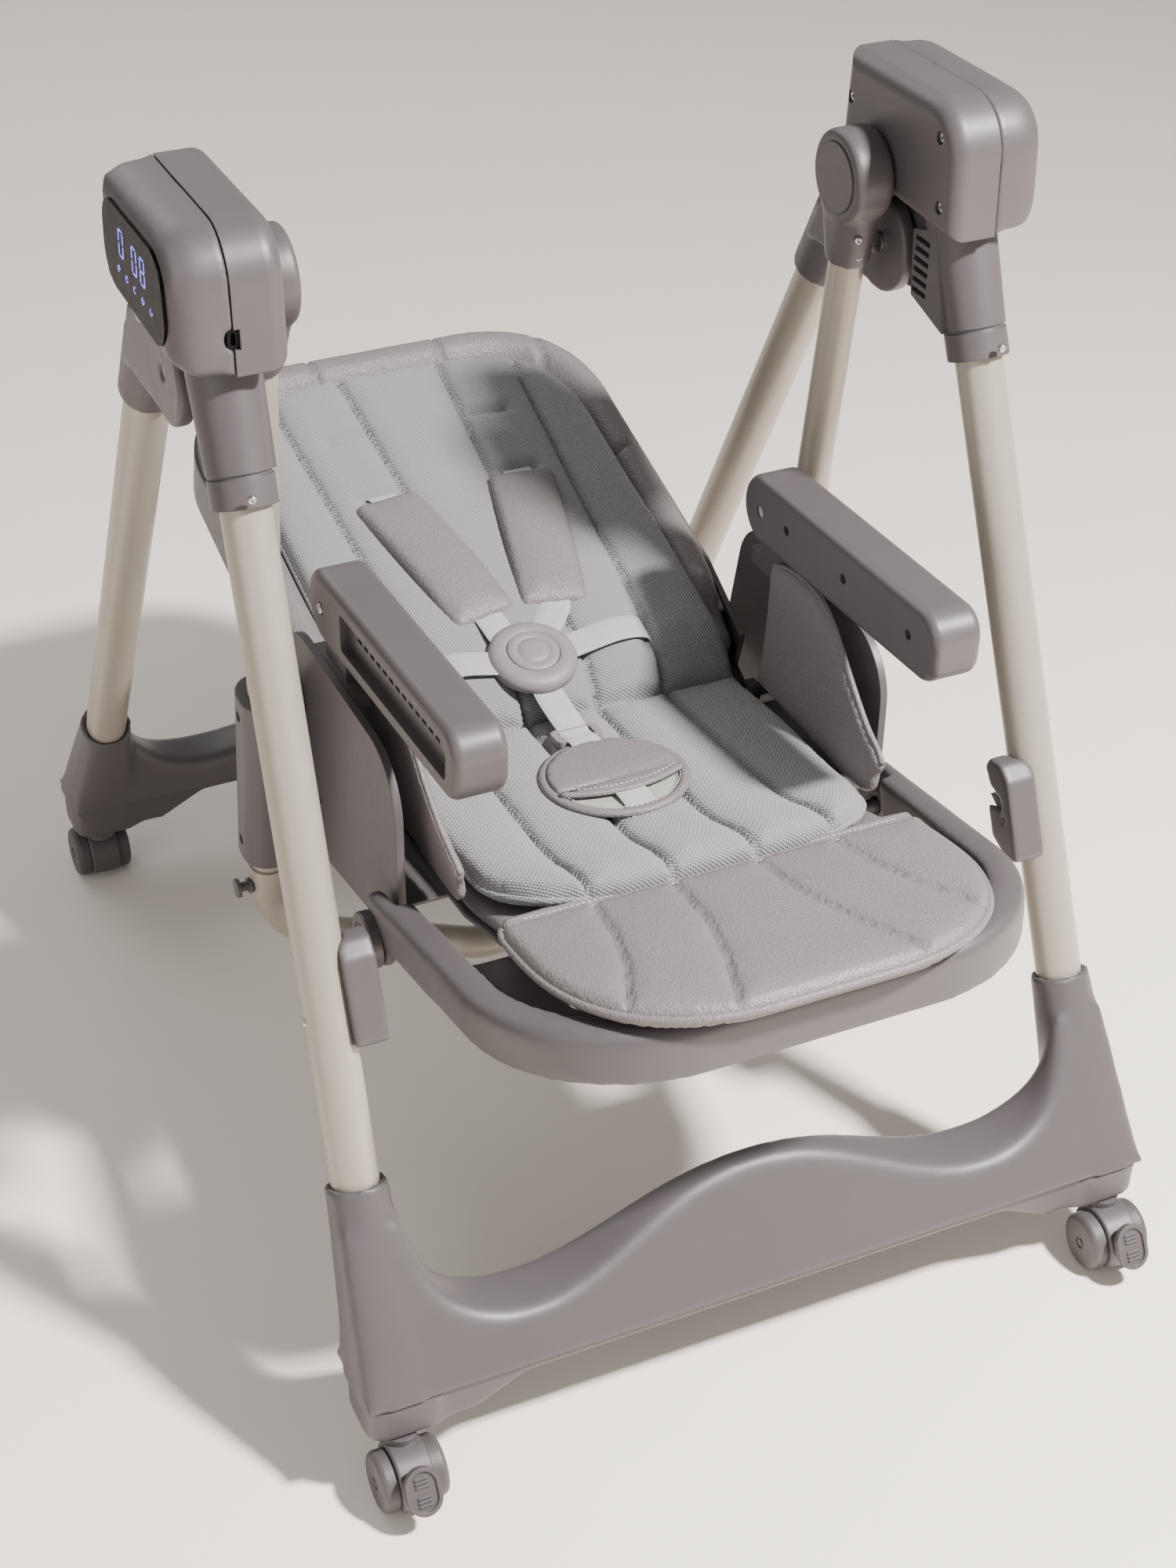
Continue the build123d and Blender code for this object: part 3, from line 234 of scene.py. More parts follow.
# ------------------------------------------------------------------ mesh helpers (millimetres in, metres out)
def add_mesh(name, points, faces, slot, uvs=None):
    """Smooth-shaded mesh object with outward normals; slot names its material."""
    mesh = bpy.data.meshes.new(name)
    mesh.from_pydata([(p[0] * MM, p[1] * MM, p[2] * MM) for p in points], [], faces)
    if uvs is not None:
        layer = mesh.uv_layers.new(name="strip")
        for loop in mesh.loops:
            layer.data[loop.index].uv = uvs[loop.vertex_index]
    shape = bmesh.new()
    shape.from_mesh(mesh)
    bmesh.ops.recalc_face_normals(shape, faces=shape.faces)
    shape.to_mesh(mesh)
    shape.free()
    mesh.polygons.foreach_set("use_smooth", [True] * len(mesh.polygons))
    mesh.materials.append(MATERIALS[slot])
    made = bpy.data.objects.new(name, mesh)
    bpy.context.scene.collection.objects.link(made)
    return made


def place_piece(piece, body, slot, *nodes):
    """Rides the piece on its body and hides the CAD nodes it stands for; slot is not used."""
    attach(piece, body)
    if nodes:
        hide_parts(*nodes)
    return piece


def spline(points, step=4.0):
    """Catmull-Rom line through the points, sampled about every step."""
    pts = [np.array(p, float) for p in points]
    pts = [2 * pts[0] - pts[1], *pts, 2 * pts[-1] - pts[-2]]
    line = []
    for a, b, c, d in zip(pts, pts[1:], pts[2:], pts[3:]):
        count = max(2, int(np.linalg.norm(c - b) / step))
        for k in range(count):
            t = k / count
            line.append(0.5 * (2 * b + (c - a) * t + (2 * a - 5 * b + 4 * c - d) * t * t
                               + (3 * b - a - 3 * c + d) * t ** 3))
    line.append(pts[-2])
    return line


def lengths(line):
    """Distance along a polyline at each of its points."""
    return np.concatenate(([0], np.cumsum(np.linalg.norm(np.diff(line, axis=0), axis=1))))


def resample(line, step):
    """Same polyline with evenly spaced points."""
    line = np.array(line, float)
    length = lengths(line)
    count = max(2, int(round(length[-1] / step)) + 1)
    at = np.linspace(0, length[-1], count)
    return [np.array([np.interp(s, length, line[:, k]) for k in range(line.shape[1])]) for s in at]


CORNER_BOW = 0.88       # how far a rounded corner's curve is drawn towards the corner


def rounded(corners, step=3.0):
    """Closed outline from (x, y, radius) corners, each corner rounded."""
    line = []
    count = len(corners)
    for i, (x, y, r) in enumerate(corners):
        here = np.array((x, y), float)
        before = np.array(corners[i - 1][:2], float) - here
        after = np.array(corners[(i + 1) % count][:2], float) - here
        a = here + before / np.linalg.norm(before) * r
        b = here + after / np.linalg.norm(after) * r
        middle = here * CORNER_BOW + (a + b) / 2 * (1 - CORNER_BOW)
        steps = max(1, int(1.5 * r / step))
        for k in range(steps + 1):
            t = k / steps
            line.append((1 - t) ** 2 * a + 2 * t * (1 - t) * middle + t * t * b)
    return resample(line + [line[0]], step)[:-1]


def distance(points, line):
    """Distance of each 2-D point from a polyline."""
    line = np.array(line, float)
    best = np.full(len(points), 1e9)
    for a, b in zip(line[:-1], line[1:]):
        d = b - a
        t = np.clip(((points - a) @ d) / max(d @ d, 1e-9), 0, 1)
        best = np.minimum(best, np.linalg.norm(points - a - t[:, None] * d, axis=1))
    return best


def inside(points, outline):
    """Which 2-D points lie inside the closed outline."""
    line = np.array(outline, float)
    hit = np.zeros(len(points), bool)
    for a, b in zip(line, np.roll(line, -1, axis=0)):
        cross = (a[1] > points[:, 1]) != (b[1] > points[:, 1])
        with np.errstate(divide="ignore", invalid="ignore"):
            x = (b[0] - a[0]) * (points[:, 1] - a[1]) / (b[1] - a[1]) + a[0]
        hit ^= cross & (points[:, 0] < x)
    return hit


ROW_PITCH = 0.87        # height of an even triangle over its side
CLEARANCE = 0.6         # loose points keep this share of a step from outline and seams


def triangulate(outline, seams, step):
    """Even triangles that fill the outline, with edges along every seam."""
    fixed = [np.array(p, float) for p in outline]
    edges = [(i, (i + 1) % len(fixed)) for i in range(len(fixed))]
    for seam in seams:
        run = [p for p in resample(seam, step) if inside(np.array([p]), outline)[0]]
        edges += [(len(fixed) + i, len(fixed) + i + 1) for i in range(len(run) - 1)]
        fixed += run
    low, high = np.min(fixed, axis=0), np.max(fixed, axis=0)
    rows = np.arange(low[1], high[1], step * ROW_PITCH)
    cloud = np.array([(x + (k % 2) * step / 2, y) for k, y in enumerate(rows)
                      for x in np.arange(low[0], high[0], step)])
    cloud = cloud[inside(cloud, outline)]
    for line in [list(outline) + [outline[0]], *seams]:
        cloud = cloud[distance(cloud, line) > step * CLEARANCE]
    flat = [Vector(p) for p in fixed] + [Vector(p) for p in cloud]
    ring = [list(range(len(outline)))]
    points, _, faces, *_ = geometry.delaunay_2d_cdt(flat, edges, ring, 1, 1e-6)
    return np.array([tuple(p) for p in points]), [tuple(f) for f in faces]


def dome(t):
    """Quarter-round rise from 0 at t=0 to 1 at t=1."""
    return np.sqrt(np.clip(1 - (1 - np.clip(t, 0, 1)) ** 2, 0, 1))


PUCKER_AT, PUCKER_SPREAD = 5, 9      # wrinkles are strongest this far from a seam, and fade over this
FINE_FOLDS, WIDE_FOLDS = 9, 22       # sizes of the wrinkles


def quilt(name, outline, seams, place, slot, crown, thick, edge, reach=18, groove=2.5, width=2.0,
          pucker=0.5, step=3.5, extra=None):
    """Padded closed form on a flat outline: crowned between its seams, thin at its edge.
    place(x, l, h) gives the point in space; extra(x, l, to_edge) may add to the top's height."""
    points, faces = triangulate(outline, seams, step)
    to_edge = distance(points, list(outline) + [outline[0]])
    to_seam = np.full(len(points), 1e3)
    for seam in seams:
        to_seam = np.minimum(to_seam, distance(points, seam))
    near = np.minimum(to_edge, to_seam)
    wrinkle = np.array([noise.noise(Vector((x / FINE_FOLDS, l / FINE_FOLDS, 3)))
                        + 0.6 * noise.noise(Vector((x / WIDE_FOLDS, l / WIDE_FOLDS, 8)))
                        for x, l in points])
    thinning = (thick - edge) * 0.5 * (1 - dome(to_edge / (thick * 0.5)))
    top = crown * dome(near / reach) - groove * np.exp(-(to_seam / width) ** 2)
    top += pucker * wrinkle * np.exp(-((near - PUCKER_AT) / PUCKER_SPREAD) ** 2)
    top -= thinning
    if extra is not None:
        top = top + extra(points[:, 0], points[:, 1], to_edge)
    bottom = -thick + thinning
    count = len(points)
    space = [place(x, l, h) for (x, l), h in zip(points, top)]
    space += [place(x, l, h) for (x, l), h in zip(points, bottom)]
    # a dict keeps the edges in their order
    edges = dict.fromkeys((a, b) for face in faces for a, b in zip(face, face[1:] + face[:1]))
    sides = [(b, a, a + count, b + count) for a, b in edges if (b, a) not in edges]
    under = [tuple(i + count for i in reversed(face)) for face in faces]
    return add_mesh(name, space, faces + under + sides, slot)


def rim_above(outline, low):
    """The part of a closed outline above low, as one run that starts on its right side."""
    first = max(i for i, (x, l) in enumerate(outline) if l < low and x > 0) + 1
    return [p for p in outline[first:] + outline[:first] if p[1] > low]


def sleeve(base, rings, sides, closed=False):
    """Faces that join rings of points numbered from base, with an end cap on each end if open."""
    faces = []
    for i in range(rings if closed else rings - 1):
        a, b = base + i * sides, base + (i + 1) % rings * sides
        for k in range(sides):
            m = (k + 1) % sides
            faces.append((a + k, a + m, b + m, b + k))
    if not closed:
        last = base + (rings - 1) * sides
        faces += [tuple(range(base, base + sides)), tuple(range(last, last + sides))]
    return faces


def tube(name, line, radius, slot, closed=False, sides=8, flat=1.0, normal=None):
    """Round or flattened tube along a line; flat squeezes it along the given normal."""
    pts = [Vector(p) for p in line]
    count = len(pts)
    points, side = [], None
    for i, p in enumerate(pts):
        ahead = pts[(i + 1) % count] if closed or i < count - 1 else p
        behind = pts[i - 1] if closed or i > 0 else p
        way = (ahead - behind).normalized()
        if normal is not None:
            high_dir = Vector(normal)
        else:
            high_dir = side if side is not None else way.orthogonal()
        side_dir = way.cross(high_dir).normalized()
        high_dir = side_dir.cross(way).normalized()
        side = high_dir
        for k in range(sides):
            a = 2 * math.pi * k / sides
            points.append(p + side_dir * (radius * math.cos(a))
                          + high_dir * (radius * flat * math.sin(a)))
    return add_mesh(name, points, sleeve(0, count, sides, closed), slot)


STRAP_WIDTH, STRAP_THICK = 25.0, 1.4
STRAP_SECTION = ((-0.5, 0), (-0.47, 0.5), (-0.2, 0.5), (0.2, 0.5), (0.47, 0.5), (0.5, 0), (0.47, -0.5),
                 (0.2, -0.5), (-0.2, -0.5), (-0.47, -0.5))


def ribbon(name, line, first, last):
    """Webbing strip along a line; first and last give the direction of its width at its ends."""
    pts = [Vector(p) for p in line]
    first, last = Vector(first).normalized(), Vector(last).normalized()
    run = 0.0
    points, uvs = [], []
    for i, p in enumerate(pts):
        way = (pts[min(i + 1, len(pts) - 1)] - pts[max(i - 1, 0)]).normalized()
        wide = first.lerp(last, i / (len(pts) - 1))
        wide = (wide - way * wide.dot(way)).normalized()
        high_dir = way.cross(wide)
        if i:
            run += (p - pts[i - 1]).length
        for a, b in STRAP_SECTION:
            points.append(p + wide * (a * STRAP_WIDTH) + high_dir * (b * STRAP_THICK))
            uvs.append((a * STRAP_WIDTH * MM, run * MM))
    faces = sleeve(0, len(pts), len(STRAP_SECTION))
    return add_mesh(name, points, faces, "webbing", uvs)


STITCH_SIDES = 6
STITCH_RINGS = ((-0.5, 0.3), (-0.3, 1), (0.3, 1), (0.5, 0.3))


def stitches(name, lines, slot, pitch, length, radius=0.45):
    """Rows of separate thread stitches along lines."""
    points, faces = [], []
    for line in lines:
        spots = resample(line, pitch)
        for a, b in zip(spots, spots[1:]):
            a, b = Vector(a), Vector(b)
            way = (b - a).normalized()
            one = way.orthogonal().normalized()
            two = way.cross(one)
            middle = (a + b) / 2
            base = len(points)
            for along, r in STITCH_RINGS:
                for k in range(STITCH_SIDES):
                    turn = 2 * math.pi * k / STITCH_SIDES
                    points.append(middle + way * (along * length)
                                  + (one * math.cos(turn) + two * math.sin(turn)) * (radius * r))
            faces += sleeve(base, len(STITCH_RINGS), STITCH_SIDES)
    return add_mesh(name, points, faces, slot)


def turned(name, profile, centre, axis, slot, sides):
    """Body of revolution: profile is (radius, height) pairs from the axis and back to it."""
    way = Vector(axis).normalized()
    one = way.orthogonal().normalized()
    two = way.cross(one)
    points, faces = [], []
    ring_at = []
    for r, h in profile:
        ring_at.append(len(points))
        if r < 1e-6:
            points.append(Vector(centre) + way * h)
            continue
        for k in range(sides):
            a = 2 * math.pi * k / sides
            points.append(Vector(centre) + way * h
                          + (one * math.cos(a) + two * math.sin(a)) * r)
    for (ra, _), (rb, _), a, b in zip(profile, profile[1:], ring_at, ring_at[1:]):
        for k in range(sides):
            m = (k + 1) % sides
            if ra < 1e-6:
                faces.append((a, b + k, b + m))
            elif rb < 1e-6:
                faces.append((a + k, a + m, b))
            else:
                faces.append((a + k, a + m, b + m, b + k))
    return add_mesh(name, points, faces, slot)


SMOOTHING = 0.6         # how far each round moves a point towards its neighbours' middle


def soften(node, cell, rounds, weight):
    """Copy of a CAD node with its edges and corners rounded.
    cell is the size of its mesh in mm; weight(points in mm) is 0 where the copy stays sharp."""
    source = frame["nodes"][node]
    made = bpy.data.objects.new(f"{node}_soft", source.data.copy())
    bpy.context.scene.collection.objects.link(made)
    made.matrix_world = source.matrix_world.copy()
    cells = made.modifiers.new("cells", "REMESH")
    cells.mode = "VOXEL"
    cells.voxel_size = cell * MM
    evaluated = made.evaluated_get(bpy.context.evaluated_depsgraph_get())
    dense = bpy.data.meshes.new_from_object(evaluated)
    made.modifiers.clear()
    count = len(dense.vertices)
    points = np.empty(count * 3)
    dense.vertices.foreach_get("co", points)
    points = points.reshape(-1, 3)
    edges = np.empty(len(dense.edges) * 2, int)
    dense.edges.foreach_get("vertices", edges)
    a, b = edges.reshape(-1, 2).T
    degree = np.bincount(np.concatenate((a, b)), minlength=count)[:, None]
    to_world = np.array(source.matrix_world)
    world_points = (points @ to_world[:3, :3].T + to_world[:3, 3]) / MM
    amount = weight(world_points)[:, None] * SMOOTHING
    for _ in range(rounds):
        total = np.zeros_like(points)
        for k in range(3):
            total[:, k] = np.bincount(a, points[b, k], count) + np.bincount(b, points[a, k], count)
        points = points + (total / degree - points) * amount
    dense.vertices.foreach_set("co", points.ravel())
    dense.polygons.foreach_set("use_smooth", [True] * len(dense.polygons))
    dense.materials.clear()
    dense.materials.append(source.data.materials[0])
    made.data = dense
    return made


# ------------------------------------------------------------------ mouldings with soft edges
SEAM_Z = 88             # height where the bases meet their covers


def above_seam(top):
    """1 on a base, fading to 0 at its seam and at 8 mm above top, where its tube sockets are."""
    return lambda p: (np.clip((p[:, 2] - SEAM_Z - 2) / 12, 0, 1)
                      * np.clip((top + 8 - p[:, 2]) / 14, 0, 1))


def below_seam(p):
    """1 on a base's cover, 0 at its seam."""
    return np.clip((SEAM_Z - 3 - p[:, 2]) / 6, 0, 1)


def everywhere(p):
    return np.ones(len(p))


def off_panel(p):
    """1 away from the display's recess and the hub's parting line, 0 in and next to them."""
    split = np.clip((np.abs(p[:, 0]) - 282) / 8, 0, 1)
    reach = np.maximum(np.abs(p[:, 1] + 38.5) - 71, np.abs(p[:, 2] - 800.5) - 35)
    near_panel = (p[:, 0] < -312) & (reach < 6)
    return split * np.where(near_panel, np.clip((reach - 1) / 5, 0, 1), 1.0)


for node, body, cell, rounds, weight in (
        ("front_base", "stand", 2.5, 34, above_seam(206)),
        ("rear_base", "rear_frame", 2.5, 34, above_seam(184)),
        ("front_base_cover", "stand", 2.0, 12, below_seam),
        ("rear_base_cover", "rear_frame", 2.0, 12, below_seam),
        ("footrest_frame", "footrest", 2.5, 14, everywhere),
        ("lock_hooks", "stand", 1.6, 10, everywhere),
        ("rear_leg_sockets", "rear_frame", 1.8, 5, everywhere),
        ("swing_elbows", "swing", 1.8, 6, everywhere),
        ("hub_outer_shells", "stand", 2.2, 30, off_panel)):
    place_piece(soften(node, cell, rounds, weight), body, "frame_plastic", node)

# ------------------------------------------------------------------ planes of the CAD model
TILT = math.radians(15.3)       # slope of the backrest
LIFT = math.radians(11.5)       # slope of the footrest


def back_point(x, v, h):
    """Point on the backrest: across, up the back, above its shell."""
    return Vector((x, 10 + v * math.cos(TILT) - h * math.sin(TILT),
                   312 + v * math.sin(TILT) + h * math.cos(TILT)))


BACK_NORMAL = back_point(0, 0, 1) - back_point(0, 0, 0)
BACK_ALONG = back_point(0, 1, 0) - back_point(0, 0, 0)
ACROSS = (1, 0, 0)


def rest_point(x, v, w):
    """Point on the footrest: across, towards its front, above its rim."""
    return Vector((x, -152 - v * math.cos(LIFT) + w * math.sin(LIFT),
                   300 + v * math.sin(LIFT) + w * math.cos(LIFT)))


class Path:
    """Line in the YZ plane; point(x, l, h) is at length l along it and h above it."""

    def __init__(self, points):
        line = np.array(spline(points, 2.0))
        self.yz = line
        self.length = lengths(line)
        way = np.gradient(line, axis=0)
        for _ in range(6):
            way[1:-1] = (way[:-2] + way[1:-1] + way[2:]) / 3
        way /= np.linalg.norm(way, axis=1)[:, None]
        self.up = np.stack([-way[:, 1], way[:, 0]], axis=1)
        if self.up[:, 1].mean() < 0:
            self.up = -self.up

    def point(self, x, l, h):
        y, z, a, b = (np.interp(l, self.length, column) for column in (*self.yz.T, *self.up.T))
        return Vector((x, y + a * h, z + b * h))

    def find(self, y, z):
        """Length at which the line passes nearest to (y, z)."""
        return self.length[np.argmin(np.hypot(self.yz[:, 0] - y, self.yz[:, 1] - z))]


def both_sides(line):
    """The line and its mirror image across the middle."""
    return [line, [(-x, l) for x, l in line]]


# ------------------------------------------------------------------ liner over seat and back
LINER_HEIGHT = 57.5     # the liner's level above the back's shell
CREASE_AT = (-5, 345)   # (y, z) where seat and back meet


def back_yz(v, h):
    """Point on the backrest as (y, z)."""
    return tuple(back_point(0, v, h)[1:])


liner_path = Path([(-272, 384), (-262, 388), (-240, 382), (-190, 364.5), (-100, 353.5), (-40, 347),
                   CREASE_AT, (6, 359), back_yz(30, 57), back_yz(60, 59), back_yz(200, LINER_HEIGHT),
                   back_yz(396, LINER_HEIGHT)])
CREASE = liner_path.find(*CREASE_AT)
TOP = liner_path.length[-1]


def up_back(v):
    """Length along the liner of the point v up the backrest."""
    return liner_path.find(*back_yz(v, LINER_HEIGHT))


liner_outline = rounded([(-148, 0, 78), (148, 0, 78), (156, up_back(-60), 40), (151, CREASE, 60),
                         (154, up_back(120), 60), (154, TOP, 92), (-154, TOP, 92),
                         (-154, up_back(120), 60), (-151, CREASE, 60), (-156, up_back(-60), 40)])
liner_seams = [[(-156, CREASE), (156, CREASE)]]
liner_seams += both_sides([(33, -5), (30, CREASE)]) + both_sides([(97, -5), (90, CREASE)])
liner_seams += both_sides([(30, CREASE), (34, up_back(130)), (39, up_back(245)), (46, TOP + 5)])
liner_seams += both_sides([(90, CREASE), (99, up_back(130)), (108, up_back(300)), (113, TOP + 5)])
slots = both_sides([(47, up_back(250)), (77, up_back(244))])
slots += both_sides([(50, up_back(324)), (80, up_back(318))])
stitched_slots = list(slots)
slots += both_sides([(86, up_back(30)), (92, up_back(56))])


def slot_dents(x, l, to_edge):
    """Dips in the liner at the slots of the harness."""
    points = np.stack([x, l], axis=1)
    near = np.min([distance(points, slot) for slot in slots], axis=0)
    return -4.5 * np.exp(-(near / 6) ** 2) - 2.0 * np.exp(-(near / 1.8) ** 2)


liner = quilt("liner_mat", liner_outline, liner_seams, liner_path.point, "liner", crown=9, reach=26,
              thick=13, edge=5, groove=3.6, width=1.7, pucker=0.7, step=3.0, extra=slot_dents)
liner_binding = tube("liner_binding", [liner_path.point(x, l, -6.5) for x, l in liner_outline], 2.6,
                     "liner", closed=True)
slot_lines = [[liner_path.point(x, l + off, 1.2) for x, l in resample(slot, 3)]
              for slot in stitched_slots for off in (-2.6, 2.6)]
slot_threads = stitches("slot_stitches", slot_lines, "grey_thread", 3.0, 2.2, 0.35)
for piece in (liner, liner_binding):
    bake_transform(piece)
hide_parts("seat_liner", "back_liner")
place_piece(slot_threads, "back", "liner")

# ------------------------------------------------------------------ leatherette seat cushion
seat_path = Path([(-264, 369), (-240, 361.5), (-190, 344.6), (-100, 334.2), (-12, 324)])
SEAT_LEN = seat_path.length[-1]
seat_outline = rounded([(-157, 0, 16), (157, 0, 16), (157, SEAT_LEN, 8), (-157, SEAT_LEN, 8)])
seat_cover = quilt("seat_cushion", seat_outline, [], seat_path.point, "leatherette", crown=0.2, reach=12,
                   thick=9, edge=5, step=7)
place_piece(seat_cover, "seat", "leatherette", "seat_pad")

# ------------------------------------------------------------------ calf pad
CALF_SEAM_AT = (-272, 381)      # (y, z) where the cushion's lobes start
calf_path = Path([(-256, 372), (-264, 378), CALF_SEAM_AT, rest_point(0, 146, 53)[1:],
                  rest_point(0, 200, 53)[1:], rest_point(0, 314, 52.5)[1:]])
SEAM = calf_path.find(*CALF_SEAM_AT)
TIP = calf_path.length[-1]
calf_outline = rounded([(-158, 0, 4), (158, 0, 4), (166, SEAM, 10), (168, SEAM + 40, 20),
                        (160, TIP, 112), (-160, TIP, 112), (-168, SEAM + 40, 20), (-166, SEAM, 10)])
calf_seams = [[(-165, SEAM), (165, SEAM)], [(-163, SEAM - 10), (163, SEAM - 10)]]
calf_seams += both_sides([(33, SEAM), (37, SEAM + 60), (50, SEAM + 115), (74, TIP + 5)])
calf_seams += both_sides([(96, SEAM), (101, SEAM + 45), (112, SEAM + 90), (133, SEAM + 140)])
calf_pad = quilt("calf_cushion", calf_outline, calf_seams, calf_path.point, "leatherette", crown=5.5,
                 reach=26, thick=13, edge=6, groove=2.0, width=1.6, pucker=0.35)
calf_piping = tube("calf_piping", [calf_path.point(x, l, -5) for x, l in rim_above(calf_outline, 8)], 3.0,
                   "leatherette")
calf_rows = [[calf_path.point(x, l, 0.9) for x, l in resample([(-148, row), (148, row)], 4)]
             for row in (SEAM - 7.5, SEAM - 2.5, SEAM + 3)]
calf_threads = stitches("calf_stitches", calf_rows, "thread", 4.4, 3.2)
for piece in (calf_pad, calf_piping, calf_threads):
    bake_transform(piece)
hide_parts("calf_pad")

# ------------------------------------------------------------------ back cover with bolsters
BACK_HEIGHT = 38        # the back cover's level above the back's shell
back_outline = rounded([(-167, 24, 10), (167, 24, 10), (181, 122, 60), (184, 434, 100),
                        (-184, 434, 100), (-181, 122, 60)])
rim_seams = []
for x in (57, 145):
    rim_seams += both_sides([(x, 380), (x * 1.04, 450)])
rim_seams += both_sides([(140, 250), (196, 262)])


def bolster(x, v, to_edge):
    """Raised padded rim round the back, which fades out towards the seat."""
    rise = np.clip((v - 50) / 50, 0, 1)
    rise = rise * rise * (3 - 2 * rise)
    return rise * 15 * np.clip(1 - np.clip((to_edge - 14) / 18, 0, 1) ** 1.5, 0, 1)


back_cover = quilt("back_cushion", back_outline, rim_seams,
                   lambda x, v, h: back_point(x, v, BACK_HEIGHT + h), "leatherette", crown=3, reach=10,
                   thick=32, edge=30, groove=2.4, width=1.7, step=4, extra=bolster)
rim_line = [back_point(x * 1.003, v, BACK_HEIGHT + 2) for x, v in rim_above(back_outline, 60)]
place_piece(tube("back_piping", rim_line, 3.0, "leatherette"), "back", "leatherette")
place_piece(back_cover, "back", "leatherette", "back_pad")

# ------------------------------------------------------------------ side wings
SIDES = (("left", -1), ("right", 1))
WING_FOOT, WING_RISE = 352, 116         # where the wings start, and their height
wing_line = [(-24, 350), (-24, 444), (-34, 460), (-62, 469), (-96, 469), (-122, 455), (-150, 428),
             (-180, 404), (-208, 389), (-208, 376), (-186, 352)]
wing_outline = resample(spline(wing_line + [wing_line[0]], 3), 3.2)[:-1]


def wing_place(sign):
    """Point on a wing, which leans outwards and bulges at half its height."""
    def point(y, z, h):
        up_wing = max(0, min(1, (z - WING_FOOT) / WING_RISE))
        lean = (z - WING_FOOT) * 0.055 + 3 * math.sin(up_wing * math.pi)
        return Vector((sign * (163 + lean - h), y, z))
    return point


for side, sign in SIDES:
    wing_point = wing_place(sign)
    wing = quilt(f"side_wing_{side}", wing_outline, [], wing_point, "leatherette", crown=3.5, reach=40,
                 thick=7, edge=4, step=4)
    place_piece(wing, "seat", "leatherette", *(["side_wings"] if sign < 0 else []))
    upper_edge = [wing_point(y, z, -3) for y, z in wing_outline if z > 384]
    place_piece(tube(f"wing_piping_{side}", upper_edge, 2.2, "leatherette"), "seat", "leatherette")

# ------------------------------------------------------------------ shoulder pads and straps
def shoulder_point(x, v, h):
    """Point on a shoulder pad, which bows up between its ends."""
    return back_point(x, v, 66 + h + 5 * math.sin((v - 90) / 145 * math.pi))


for side, sign in SIDES:
    pad_outline = rounded([(sign * 32, 242, 7), (sign * 90, 236, 7), (sign * 58, 82, 6),
                           (sign * 1.5, 91, 6)], 3)
    shoulder = quilt(f"shoulder_pad_{side}", pad_outline, [], shoulder_point, "leatherette", crown=8,
                     reach=24, thick=6, edge=3.5, pucker=0.4, step=3)
    place_piece(shoulder, "back", "leatherette", *(["shoulder_pads"] if sign < 0 else []))
    upper = spline([back_point(sign * 62, 252, 50), back_point(sign * 61, 246, 62),
                    back_point(sign * 60, 232, 69)], 3)
    lower = spline([back_point(sign * 31, 100, 68), back_point(sign * 28, 84, 67),
                    back_point(sign * 18 - 9, 60, 70)], 3)
    for end, line in (("top", upper), ("foot", lower)):
        strap = ribbon(f"shoulder_strap_{side}_{end}", line, ACROSS, ACROSS)
        stands_for = ["harness_straps"] if (end, sign) == ("top", -1) else []
        place_piece(strap, "back", "webbing", *stands_for)
    waist = spline([back_point(sign * 93, 44, 50), back_point(sign * 88, 44, 64),
                    back_point(sign * 68 - 5, 42, 72), back_point(sign * 32 - 12, 37, 70)], 3)
    place_piece(ribbon(f"waist_strap_{side}", waist, BACK_ALONG, BACK_ALONG), "back", "webbing")

CROTCH_X = -8           # the strap lies a little to the left in the photo
crotch_line = spline([(CROTCH_X, y, z) for y, z in (
    (-186, 362), (-176, 371), (-150, 372), (-120, 369), (-80, 364.5), (-64, 364), (-55, 361.5),
    (-48, 359.6), (-42, 359.5))], 4)
crotch_strap = ribbon("crotch_strap_mat", crotch_line, ACROSS, ACROSS)
place_piece(crotch_strap, "seat", "webbing", "crotch_strap")
link_line = spline([(CROTCH_X, -45, 360), (CROTCH_X, -36, 361), (-10, -22, 366), (-12, -8, 372),
                    (-12, 6, 377)], 4)
link = ribbon("crotch_strap_link", link_line, ACROSS, ACROSS)
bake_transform(link)

# ------------------------------------------------------------------ crotch pad
PAD_CENTRE = Vector((CROTCH_X, -120, 361.5))
PAD_ALONG = Vector((0, 1, -0.12)).normalized()
PAD_NORMAL = Vector((0, 0.12, 1)).normalized()


def crotch_point(x, v, h):
    """Point on the crotch pad: across, towards the buckle, above its lining."""
    return PAD_CENTRE + Vector((x, 0, 0)) + PAD_ALONG * v + PAD_NORMAL * h


ellipse = [np.array((53 * math.cos(a), 56 * math.sin(a)))
           for a in np.linspace(0, 2 * math.pi, 96)[:-1]]
flap_edge = [(x, -14 - 13 * (1 - (x / 50) ** 2)) for x in np.linspace(-50, 50, 24)]
flap = [np.array(p) for p in flap_edge] + [p * 0.96 for p in ellipse if p[1] > -12]
flap = resample([*flap, flap[0]], 3)[:-1]
crotch_base = quilt("crotch_lining", ellipse, [], lambda x, v, h: crotch_point(x, v, h + 3.4),
                    "lining", crown=0.5, thick=3, edge=2.5, pucker=0.2)
place_piece(crotch_base, "seat", "liner")
crotch_flap = quilt("crotch_flap", flap, [], lambda x, v, h: crotch_point(x, v, h + 8.6), "leatherette",
                    crown=2.0, reach=20, thick=3, edge=2.2, pucker=0.3, step=3)
place_piece(crotch_flap, "seat", "leatherette", "crotch_pad")
